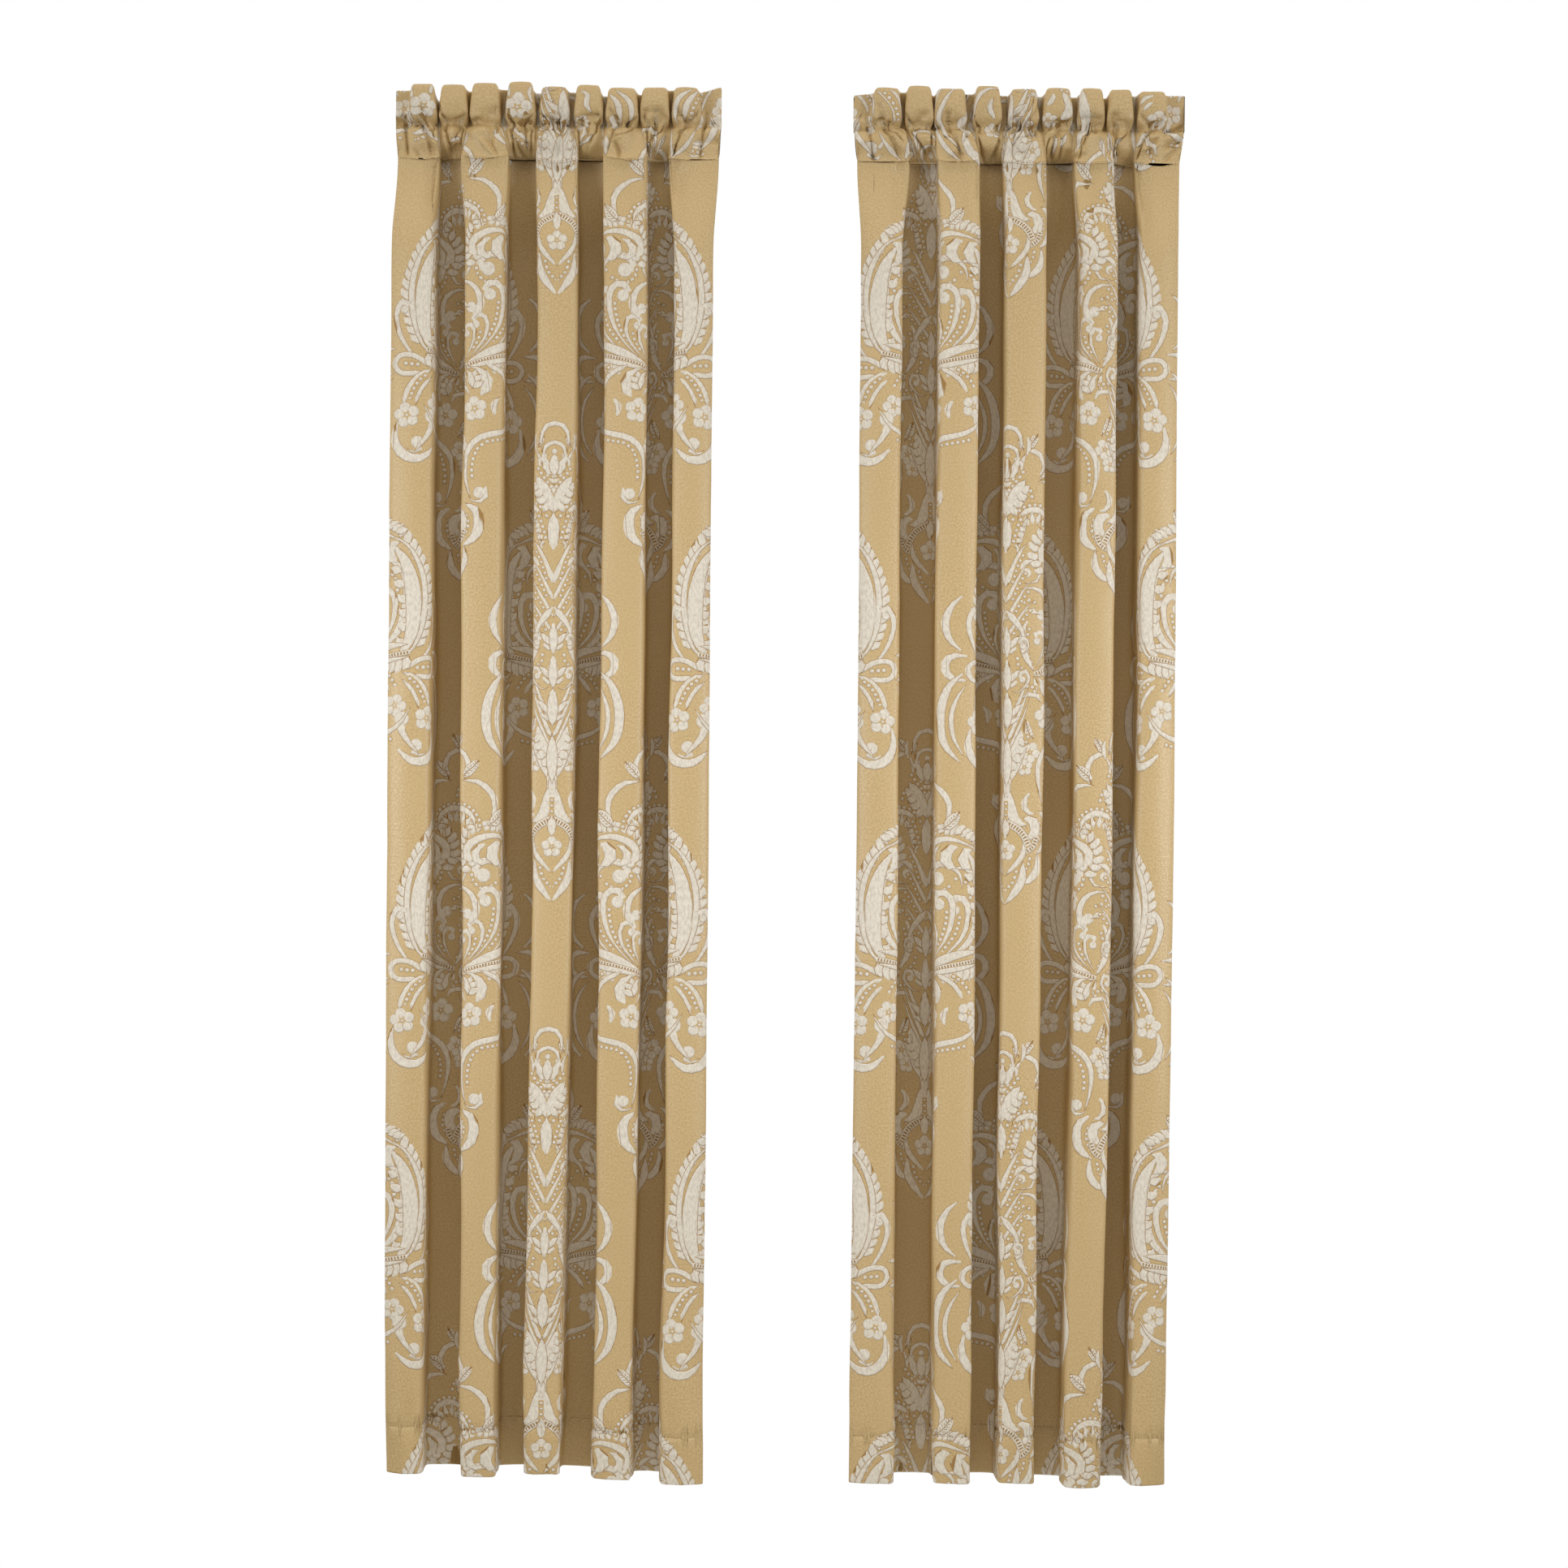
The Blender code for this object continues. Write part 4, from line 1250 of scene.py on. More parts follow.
    def draw_below_waist(self) -> None:
        """Bell flowers, small flowers and leaves under the waist, and the long pearled curve."""
        self.stroke([(76, 374), (98, 384), (112, 396), (122, 414)], 8.6)
        self.chain([(104, 376), (122, 388), (132, 404)], 8.6)
        self.flower((131, 434), 18.5, 20)
        self.stroke([(50, 378), (64, 381), (78, 392), (80, 410), (70, 424)], 18.0, Profile.DROP)
        self.comb([(58, 386), (68, 394), (72, 410)], 3, 17, -1, 20, 0.2, 10)
        self.stroke([(46, 380), (55, 392), (58, 414)], 12.5, Profile.DROP)
        self.lens(9.0, (42, 380), (45, 396), (40, 414))
        self.stroke([(20, 417), (36, 408), (48, 412), (54, 424)], 8.4)
        self.chain([(20, 404), (34, 396), (46, 400)], 8.4)
        self.flower((62, 443), 20.0, -8)
        self.leaf((42, 478), (33, 466), (28, 446), 14)
        self.flower((36, 498), 17.0, 30)
        self.lens(10.5, (100, 424), (91, 438), (94, 454), step=7)
        self.scroll(11.5, 13.0, (142, 454), (140, 466), (150, 486), (170, 510))
        upper = (156, 434), (140, 460), (120, 474), (97, 480), (73, 486)
        self.stroke([*upper, (57, 500), (49, 520), (51, 552), (60, 582)], 11.0, Profile.LENS)
        self.chain([(128, 484), (104, 490), (81, 493), (66, 507), (60, 530), (61, 552)], 8.6)
        self.scroll(9.5, 10.0, (72, 571), (80, 564), (82, 578), (68, 586), (54, 576))

    def draw_pendant(self) -> None:
        """The crescents and scallops that close the medallion round its pendant."""
        self.lens(17.0, (50, 586), (70, 602), (69, 634), (46, 654))
        self.chain([(52, 602), (57, 619), (50, 638)], 8.4)
        self.lens(10.0, (38, 558), (29, 572), (33, 589), (46, 592), step=7)
        self.lens(18.0, (26, 598), (42, 602), (46, 620), (32, 632), step=7)
        self.stroke([(49, 626), (42, 644), (24, 652)], 10.0, Profile.STRAIGHT, Weave.DASHED, 6.0)
        self.lens(13.0, (50, 650), (50, 676), (37, 694), (18, 699))
        self.chain([(39, 656), (36, 672), (27, 682)], 8.2)


def draw_loops(side: str) -> dict[int, Medallion]:
    """The figures on the header's loops and the pocket under them.

    Args:
        side: which curtain.

    Returns:
        For each loop with figures of its own, what is drawn on it, from its middle and
        below the header's top.
    """
    drawn: dict[int, Medallion] = {}

    def on(loop: int) -> Medallion:
        return drawn.setdefault(loop, Medallion())

    def band(loop: int, width: float, *points: Pair, weave: Weave = Weave.FIGURE) -> None:
        profile = Profile.STRAIGHT if weave is Weave.PEARLS else Profile.LENS
        on(loop).stroke(points, width, profile, weave, 7.0, across=True)

    if side == "left":
        band(1, 8.0, (-8, 92), (0, 86), (10, 86))
        band(2, 10.0, (13, 64), (17, 84), (36, 97))
        band(2, 8.0, (24, 66), (30, 78), (42, 86))
        band(0, 8.0, (-38, 34), (-22, 36), (-16, 50), (-12, 62))
        band(0, 8.4, (-15, 6), (-16, 16), (-11, 24))
        on(0).flower((1, 34), 18.5, 12, across=True)
        band(0, 8.5, (14, 2), (12, 12), (9, 19))
        band(0, 9.0, (-32, 76), (-16, 78), (-5, 72), (0, 54), (6, 48))
        band(0, 10.0, (5, 50), (-1, 70), (8, 84), (27, 90))
        band(0, 8.0, (-30, 88), (-20, 88), (-6, 84), weave=Weave.PEARLS)
        on(3).flower((-3, 35), 19.0, 6, across=True)
        band(3, 8.0, (-16, 4), (-17, 14), (-13, 24))
        band(3, 7.0, (18, 6), (12, 18), (17, 30))
        band(3, 8.4, (-12, 58), (-4, 74), (14, 92))
        band(3, 8.0, (-13, 78), (-2, 90), (16, 100), weave=Weave.PEARLS)
        band(5, 8.4, (-12, 12), (-1, 16), (-2, 30), (4, 44))
        on(5).flower((-9, 58), 12.0, 20, across=True)
        band(5, 8.0, (-8, 60), (0, 72), (-6, 90))
        band(5, 7.0, (18, 70), (6, 88), (-10, 100))
        band(6, 9.0, (-20, 10), (-5, 28), (-1, 60))
        band(6, 9.0, (-10, 4), (10, 26), (11, 62))
        on(6).ball((-10, 56), 9.0, across=True)
        band(6, 16.0, (-21, 78), (-14, 96), (-4, 112))
        band(8, 9.5, (10, 3), (-11, 22), (-14, 58))
        band(8, 9.0, (20, 4), (2, 26), (-3, 58))
        band(8, 8.0, (19, 16), (8, 34), (5, 52), weave=Weave.PEARLS)
        band(8, 10.0, (-20, 62), (-15, 88), (2, 116))
        band(8, 10.0, (24, 62), (20, 90), (3, 116))
        band(8, 9.0, (27, 92), (38, 90), (50, 92))
        band(8, 8.0, (28, 102), (38, 102), (50, 106), weave=Weave.PEARLS)
    else:
        band(0, 9.0, (-38, 8), (-24, 18), (-18, 44))
        band(0, 9.0, (-16, 6), (6, 26), (9, 56))
        band(0, 9.0, (2, 2), (20, 24), (21, 54))
        band(0, 8.0, (-6, 8), (8, 26), (14, 50), weave=Weave.PEARLS)
        band(0, 9.0, (-21, 66), (-19, 90), (-6, 116))
        band(0, 12.0, (26, 62), (24, 88), (-2, 114))
        band(0, 8.0, (-40, 96), (-30, 92), (-22, 84))
        band(3, 8.0, (-17, 46), (-16, 22), (2, 6), (17, 8))
        band(3, 8.4, (8, 18), (2, 28), (8, 50))
        on(3).flower((6, 66), 13.0, 8, across=True)
        band(5, 17.0, (4, 8), (16, 28), (2, 52))
        band(5, 9.0, (-16, 26), (-8, 20), (-6, 10))
        on(5).flower((-12, 48), 12.0, 0, across=True)
        band(5, 8.0, (0, 4), (14, 8), (21, 24), weave=Weave.PEARLS)
        band(5, 8.0, (-2, 64), (2, 84), (2, 108))
        band(5, 10.0, (16, 66), (14, 84), (12, 96))
        band(8, 9.0, (-18, 26), (-12, 14), (2, 8))
        band(8, 8.0, (-12, 34), (-6, 24), (1, 20))
        on(8).flower((7, 47), 14.5, 0, across=True)
        band(8, 8.0, (-24, 92), (-12, 84), (-4, 58))
        band(8, 9.0, (-2, 60), (6, 82), (22, 90), (33, 104))
        band(8, 8.0, (12, 98), (22, 102), (32, 112), weave=Weave.PEARLS)
        band(8, 9.0, (24, 34), (38, 22), (50, 20))
    return drawn


@dataclass(frozen=True)
class Repeat:
    """How medallions are set out on a cloth: a half drop."""

    half_width: float = 325.0
    height: float = 926.0
    top: float = -436.0  # the middle column's medallion below the heading

    def over(self, medallion: Medallion, axis: float, across: Pair, up: Pair) -> list[Motif]:
        """The figures that touch a piece of cloth.

        Args:
            medallion: half a medallion.
            axis: flat distance of the middle column.
            across: flat distances of the cloth's two sides.
            up: heights of its lower and upper edge on the flat cloth.

        Returns:
            The figures, those in front last.
        """
        drawn = [(motif, mirror) for motif in medallion.paired for mirror in (1, -1)]
        drawn += [(motif, 1) for motif in medallion.single]
        found = []
        for column in range(-3, 4):
            middle = axis + column * self.half_width
            for level in range(-2, 5):
                top = self.top - self.height * (level + (0.5 if column % 2 else 0.0))
                for motif, mirror in drawn:
                    placed = motif.placed(middle, top, mirror)
                    left, low = placed.outline.min(axis=0)
                    right, high = placed.outline.max(axis=0)
                    if right > across[0] and left < across[1] and high > up[0] and low < up[1]:
                        found.append(placed)
        return found


# --- Cloth made into a mesh ------------------------------------------------------------


def put_in(name: str, data: bpy.types.ID) -> bpy.types.Object:
    """Puts a new object with this data into the scene."""
    made = bpy.data.objects.new(name, data)
    bpy.context.scene.collection.objects.link(made)
    return made


@dataclass
class Cut:
    """Flat cloth divided into triangles along its figures' edges and its fold lines.

    size is its left, right, lower and upper side, and front the number of the figure that
    each triangle shows, or -1 for the ground. squash shortens heights while the triangles
    are chosen, so that they run along the folds.
    """

    size: Box
    figures: list[Motif]
    lines: list[FloatGrid]
    spots: FloatGrid
    squash: float = 1 / 3
    points: FloatGrid = field(init=False)
    triangles: FloatGrid = field(init=False)
    front: FloatGrid = field(init=False)

    def __post_init__(self) -> None:
        """Divides the cloth."""
        left, right, low, high = self.size
        chunks = [np.array([(left, low), (right, low), (right, high), (left, high)])]
        faces, edges, count = [(0, 1, 2, 3)], [], 4
        for motif in self.figures:
            outline = motif.outline[::-1] if signed_area(motif.outline) < 0 else motif.outline
            faces.append(tuple(range(count, count + len(outline))))
            chunks.append(outline)
            count += len(outline)
        for line in self.lines:
            edges += [(count + i, count + i + 1) for i in range(len(line) - 1)]
            chunks.append(line)
            count += len(line)
        chunks.append(self.spots)
        flat = np.concatenate(chunks) * (1.0, self.squash)
        made = delaunay_2d_cdt([Vector(point) for point in flat], edges, faces, 0, 1e-4)
        points = np.array([tuple(point) for point in made[0]]) / (1.0, self.squash)
        kept = [(face, max(owners)) for face, owners in zip(made[2], made[5]) if 0 in owners]
        triangles = np.array([face for face, _ in kept])
        used = np.unique(triangles)
        place = np.full(len(points), -1)
        place[used] = np.arange(len(used))
        self.points, self.triangles = points[used], place[triangles]
        self.front = np.array([owner for _, owner in kept]) - 1

    def local(self) -> FloatGrid:
        """Where each triangle's corners lie in the figure that it shows."""
        corners = np.zeros((len(self.triangles), 3, 3))
        order = np.argsort(self.front, kind="stable")
        sorted_front = self.front[order]
        starts = np.searchsorted(sorted_front, np.arange(len(self.figures) + 1))
        for number, motif in enumerate(self.figures):
            rows = order[starts[number] : starts[number + 1]]
            if len(rows):
                at = self.points[self.triangles[rows]].reshape(-1, 2)
                corners[rows] = motif.local(at).reshape(-1, 3, 3)
        beside, strokes = corners[:, :, 1], (corners[:, :, 2] > 0).all(axis=1)
        on_edge = (np.abs(beside) > 0.9).all(axis=1) & (np.abs(beside.sum(axis=1)) > 2.7)
        corners[on_edge & strokes, :, 1] = 0.0
        return corners

    def weaves(self) -> FloatGrid:
        """The material slot of each triangle."""
        table = np.array([motif.weave.value for motif in self.figures] + [Weave.GROUND.value])
        return table[self.front]

    def rim(self, side: int) -> FloatGrid:
        """The points on one side of the cut, in order: 0 left, 1 right, 2 lower, 3 upper."""
        axis = 0 if side < 2 else 1
        found = np.nonzero(np.abs(self.points[:, axis] - self.size[side]) < 1e-3)[0]
        return found[np.argsort(self.points[found, 1 - axis])]


def turned(distance: FloatGrid, radius: float) -> tuple[FloatGrid, FloatGrid, FloatGrid]:
    """Cloth that turns back behind itself at an edge.

    Args:
        distance: how far past the edge it would reach if it lay flat, below 0 inside it.
        radius: the turn's radius.

    Returns:
        The angle it has turned, how far inside the edge it lies, and how far behind.
    """
    distance = distance - radius * (math.pi / 2 - 1)
    angle = np.clip(distance / radius, -math.pi / 2, math.pi / 2) + math.pi / 2
    inside = radius * (1 - np.sin(angle)) + np.maximum(np.abs(distance) - radius * math.pi / 2, 0.0)
    return angle, inside, radius * (1 - np.cos(angle))


@dataclass
class Sheet:
    """One sheet of woven cloth in place, with its hems turned.

    edges is the left, right, lower and upper edge of the finished sheet on the flat cloth;
    side_hem and bottom_hem are what is turned behind them.
    """

    name: str
    surface: Surface
    edges: Box
    side_hem: float = 0.0
    bottom_hem: float = 0.0

    @property
    def cut_size(self) -> Box:
        """Left, right, lower and upper side of the cut cloth."""
        left, right, low, high = self.edges
        return left - self.side_hem, right + self.side_hem, low - self.bottom_hem, high

    def lay(self, flat: FloatGrid, offset: float) -> tuple[FloatGrid, FloatGrid]:
        """Puts points of the flat cloth in place.

        Args:
            flat: distance across and up on the flat cloth.
            offset: how far off the middle of the cloth, towards its face.

        Returns:
            The points and the face's normals there.
        """
        left, right, low, _ = self.edges
        across, up = flat[:, 0].copy(), flat[:, 1].copy()
        side_angle, side_depth = np.zeros(len(flat)), np.zeros(len(flat))
        outward = np.where(across > (left + right) / 2, 1.0, -1.0)
        if self.side_hem:
            past = np.where(outward > 0, across - right, left - across)
            side_angle, inside, side_depth = turned(past, SIDE_TURN)
            across = np.where(outward > 0, right - inside, left + inside)
        low_angle, low_depth = np.zeros(len(flat)), np.zeros(len(flat))
        if self.bottom_hem:
            low_angle, inside, low_depth = turned(low - up, BOTTOM_TURN)
            up = low + inside
        points, face, sideways = self.surface.read(across, up)
        downward = np.cross(sideways, face)
        turned_side = face * np.cos(side_angle)[:, None] + sideways * (outward * np.sin(side_angle))[:, None]
        normals = turned_side * np.cos(low_angle)[:, None] + downward * np.sin(low_angle)[:, None]
        depth = low_depth + side_depth * np.cos(low_angle)
        return points - face * depth[:, None] + normals * offset, normals

    def build(self, face: Cut, reverse: Cut) -> bpy.types.Object:
        """Makes the mesh: the face, the reverse behind it, and the raw edges between them.

        Args:
            face: how the face is divided.
            reverse: how the reverse is divided.

        Returns:
            The object, with its UV maps, its figure attribute and a slot for each weave.
        """
        half = CLOTH_THICK / 2
        face_points, face_normals = self.lay(face.points, half)
        back_points, back_normals = self.lay(reverse.points, -half)
        points = np.concatenate([face_points, back_points])
        rim = np.concatenate([self.zip_rim(face, reverse, side) for side in range(4)])
        triangles = np.concatenate([face.triangles, reverse.triangles[:, ::-1] + len(face_points), rim])
        normals = np.concatenate([face_normals, -back_normals])[triangles]
        a, b, c = (points[rim[:, corner]] for corner in range(3))
        across = np.cross(b - a, c - a)
        flat_normals = across / np.maximum(np.linalg.norm(across, axis=1, keepdims=True), 1e-12)
        normals[-len(rim) :] = flat_normals[:, None, :]
        figure = np.concatenate([face.local(), reverse.local()[:, ::-1], np.zeros((len(rim), 3, 3))])
        behind = np.where(reverse.weaves() == Weave.GROUND.value, REVERSE_SLOT, REVERSE_SLOT + 1)
        weaves = np.concatenate([face.weaves(), behind, np.full(len(rim), REVERSE_SLOT)])
        mesh = bpy.data.meshes.new(self.name)
        mesh.from_pydata(points * MM, [], triangles)
        mesh.attributes.new("figure", "FLOAT_VECTOR", "CORNER").data.foreach_set("vector", figure.ravel())
        mesh.polygons.foreach_set("material_index", weaves.astype(np.int32))
        flat = np.concatenate([face.points, reverse.points])
        self.unwrap(mesh, flat, triangles, len(face.triangles))
        mesh.polygons.foreach_set("use_smooth", np.ones(len(triangles), bool))
        mesh.normals_split_custom_set(normals.reshape(-1, 3))
        LOG.info("%s: %d triangles", self.name, len(triangles))
        return put_in(self.name, mesh)

    def zip_rim(self, face: Cut, reverse: Cut, side: int) -> FloatGrid:
        """Triangles between the face's and the reverse's points on one side."""
        axis = 1 if side < 2 else 0
        first, second = face.rim(side), reverse.rim(side)
        shift = len(face.points)
        triangles, i, j = [], 0, 0
        while i < len(first) - 1 or j < len(second) - 1:
            if j == len(second) - 1:
                step = True
            elif i == len(first) - 1:
                step = False
            else:
                step = face.points[first[i + 1], axis] <= reverse.points[second[j + 1], axis]
            if step:
                triangles.append((first[i], first[i + 1], second[j] + shift))
                i += 1
            else:
                triangles.append((first[i], second[j + 1] + shift, second[j] + shift))
                j += 1
        found = np.array(triangles)
        return found[:, ::-1] if side in (1, 2) else found

    def unwrap(self, mesh: bpy.types.Mesh, flat: FloatGrid, triangles: FloatGrid, faces: int) -> None:
        """Gives the mesh its two UV maps: one for a picture of its finish, one in metres."""
        left, right, low, high = self.cut_size
        corners = triangles.ravel()
        picture = (flat[corners] - (left, low)) / (right - left, high - low)
        short = 0 if high - low > right - left else 1
        picture = 0.005 + picture * np.where(np.arange(2) == short, 0.49, 0.99)
        picture[:, short] += 0.5 * (np.arange(len(corners)) >= faces * 3)
        mesh.uv_layers.new(name="OFBake").data.foreach_set("uv", picture.ravel())
        mesh.uv_layers.new(name="cloth").data.foreach_set("uv", (flat[corners] * MM).ravel())


def fold_lines(hanging: Hanging, heights: FloatGrid, corner: Sequence[float], inner: int) -> list[FloatGrid]:
    """Lines on the flat cloth that follow the folds down.

    Args:
        hanging: the panel.
        heights: where each line has a point.
        corner: how far from a fold's corner its lines lie.
        inner: how many lines each front, valley and flank has between its corners.

    Returns:
        The lines.
    """
    rows = []
    reach = max(corner)
    for z in heights:
        lanes = hanging.lanes_flat(z)
        sides = [side for lane in lanes for side in lane]
        row = []
        for number, (start, end) in enumerate(zip(sides, sides[1:])):
            if number:
                row += [start + offset for offset in corner]
            near = start + (reach if number else 0.0)
            far = end - (reach if number < len(sides) - 2 else 0.0)
            row += [near + (far - near) * (step + 1) / (inner + 1) for step in range(inner)]
        rows.append(row)
    table = np.array(rows)
    return [np.stack([table[:, column], heights], axis=1) for column in range(table.shape[1])]


def grid_of(across: FloatGrid, up: FloatGrid) -> FloatGrid:
    """Every pair of a distance across and a distance up."""
    return np.stack(np.meshgrid(across, up), axis=-1).reshape(-1, 2)


# --- Finishes --------------------------------------------------------------------------


def linear(code: str) -> Colour:
    """A colour in linear light from its six-figure hex code."""
    parts = [int(code[at : at + 2], 16) / 255 for at in (0, 2, 4)]
    red, green, blue = (
        part / 12.92 if part <= 0.04045 else ((part + 0.055) / 1.055) ** 2.4 for part in parts
    )
    return red, green, blue, 1.0


@dataclass(frozen=True)
class Signal:
    """A number that varies over a surface. Arithmetic on it adds Math nodes."""

    board: "Board"
    socket: bpy.types.NodeSocket

    def join(self, operation: str, *others: "Signal | float") -> "Signal":
        """This number and others, joined by one Math node."""
        values = dict(enumerate((self, *others)))
        return self.board.signal("ShaderNodeMath", {"operation": operation}, values)

    def __add__(self, other: "Signal | float") -> "Signal":
        """Sum."""
        return self.join("ADD", other)

    def __sub__(self, other: "Signal | float") -> "Signal":
        """Difference."""
        return self.join("SUBTRACT", other)

    def __rsub__(self, other: float) -> "Signal":
        """Difference, the other way round."""
        return (self * -1.0) + other

    def __mul__(self, other: "Signal | float") -> "Signal":
        """Product."""
        return self.join("MULTIPLY", other)

    def __truediv__(self, other: "Signal | float") -> "Signal":
        """Quotient."""
        return self.join("DIVIDE", other)

    __radd__ = __add__
    __rmul__ = __mul__

    def step(self, low: float, high: float) -> "Signal":
        """A soft step, from 0 at low to 1 at high."""
        values = {"Value": self, "From Min": low, "From Max": high}
        return self.board.signal("ShaderNodeMapRange", {"interpolation_type": "SMOOTHSTEP"}, values)


@dataclass
class Board:
    """The nodes of one material, with the cloth's coordinates at hand."""

    name: str
    material: bpy.types.Material = field(init=False)
    nodes: bpy.types.Nodes = field(init=False)
    shader: bpy.types.Node = field(init=False)

    def __post_init__(self) -> None:
        """Starts the material with a plain shader."""
        self.material = bpy.data.materials.new(self.name)
        self.material.use_nodes = True
        self.nodes = self.material.node_tree.nodes
        self.shader = self.nodes["Principled BSDF"]

    def add(self, kind: str, settings: dict[str, object], values: dict[int | str, object]) -> bpy.types.Node:
        """Adds a node.

        Args:
            kind: its type.
            settings: its properties, which are set first.
            values: a number, colour, Signal or socket for each of its inputs.

        Returns:
            The node.
        """
        node = self.nodes.new(kind)
        for key, setting in settings.items():
            setattr(node, key, setting)
        for key, value in values.items():
            self.feed(node.inputs[key], value)
        return node

    def feed(self, entry: bpy.types.NodeSocket, value: object) -> None:
        """Gives an input its value or its link."""
        if isinstance(value, Signal):
            value = value.socket
        if isinstance(value, bpy.types.NodeSocket):
            self.material.node_tree.links.new(value, entry)
        else:
            entry.default_value = value

    def signal(self, kind: str, settings: dict[str, object], values: dict[int | str, object]) -> Signal:
        """Adds a node and takes its first output as a number."""
        return Signal(self, self.add(kind, settings, values).outputs[0])

    def noise(self, at: bpy.types.NodeSocket, size: float, detail: float = 2.0) -> Signal:
        """Even noise with bumps of this size, in millimetres, from 0 to 1."""
        values = {"Vector": at, "Scale": 1.0 / (size * MM), "Detail": detail}
        return self.signal("ShaderNodeTexNoise", {}, values)

    def blend(self, share: Signal, first: object, second: object) -> bpy.types.NodeSocket:
        """A colour between two colours."""
        node = self.add("ShaderNodeMix", {"data_type": "RGBA"}, {0: share, 6: first, 7: second})
        return node.outputs[2]

    def cloth(self, across: float = 1.0, up: float = 1.0) -> bpy.types.NodeSocket:
        """Place on the flat cloth in metres, with both ways stretched."""
        place = self.add("ShaderNodeUVMap", {"uv_map": "cloth"}, {})
        values = {0: place.outputs[0], 1: (across, up, 1.0)}
        return self.add("ShaderNodeVectorMath", {"operation": "MULTIPLY"}, values).outputs[0]

    def figure(self) -> tuple[Signal, Signal, Signal, Signal]:
        """Distance along a figure and beside its line, its half width, and how far inside its edge."""
        place = self.add("ShaderNodeAttribute", {"attribute_name": "figure"}, {})
        split = self.add("ShaderNodeSeparateXYZ", {}, {0: place.outputs["Vector"]})
        along, ratio, half = (Signal(self, output) for output in split.outputs)
        size = half.join("ABSOLUTE")
        beside = ratio.join("ABSOLUTE") * size
        from_middle = (along * along + ratio * ratio).join("SQRT")
        disc = half.join("LESS_THAN", 0.0)
        inside = size - (disc * from_middle + (1.0 - disc) * beside)
        return along, beside, size, inside

    def relief(self, height: Signal, depth: float) -> bpy.types.NodeSocket:
        """A bump of this many millimetres."""
        values = {"Strength": 1.0, "Distance": depth * MM, "Height": height}
        return self.add("ShaderNodeBump", {}, values).outputs[0]

    def shade(self, **inputs: object) -> bpy.types.Material:
        """Gives the shader its inputs and hands over the material."""
        names = {"colour": "Base Color", "specular": "Specular IOR Level"}
        for key, value in inputs.items():
            self.feed(self.shader.inputs[names.get(key, key.title())], value)
        return self.material


@dataclass(frozen=True)
class Satin:
    """The crepe satin ground: a fine grain of lit and shaded threads."""

    light: str = "D6BD8E"
    middle: str = "C8AD7B"
    dark: str = "B69763"
    grain: float = 1.7
    roughness: float = 0.42

    def grain_of(self, board: Board) -> Signal:
        """The crepe's grain, from 0 to 1."""
        coarse = board.noise(board.cloth(1.0, 0.8), self.grain * 1.5, 3.0)
        fine = board.noise(board.cloth(1.25, 1.0), self.grain * 0.55, 1.0)
        return (coarse * 0.7 + fine * 0.3).step(0.36, 0.64)

    def colour(self, board: Board, grain: Signal) -> bpy.types.NodeSocket:
        """The ground's colour, with its grain and a soft unevenness."""
        threads = board.blend(grain, linear(self.dark), linear(self.light))
        drift = board.noise(board.cloth(1.0, 0.35), 70.0, 2.0).step(0.3, 0.7)
        return board.blend(drift * 0.35 + 0.3, threads, linear(self.middle))

    def dress(self, name: str) -> bpy.types.Material:
        """Makes the material."""
        board = Board(name)
        grain = self.grain_of(board)
        roughness = grain * -0.12 + (self.roughness + 0.06)
        colour, relief = self.colour(board, grain), board.relief(grain, 0.16)
        return board.shade(colour=colour, roughness=roughness, specular=0.6, normal=relief)


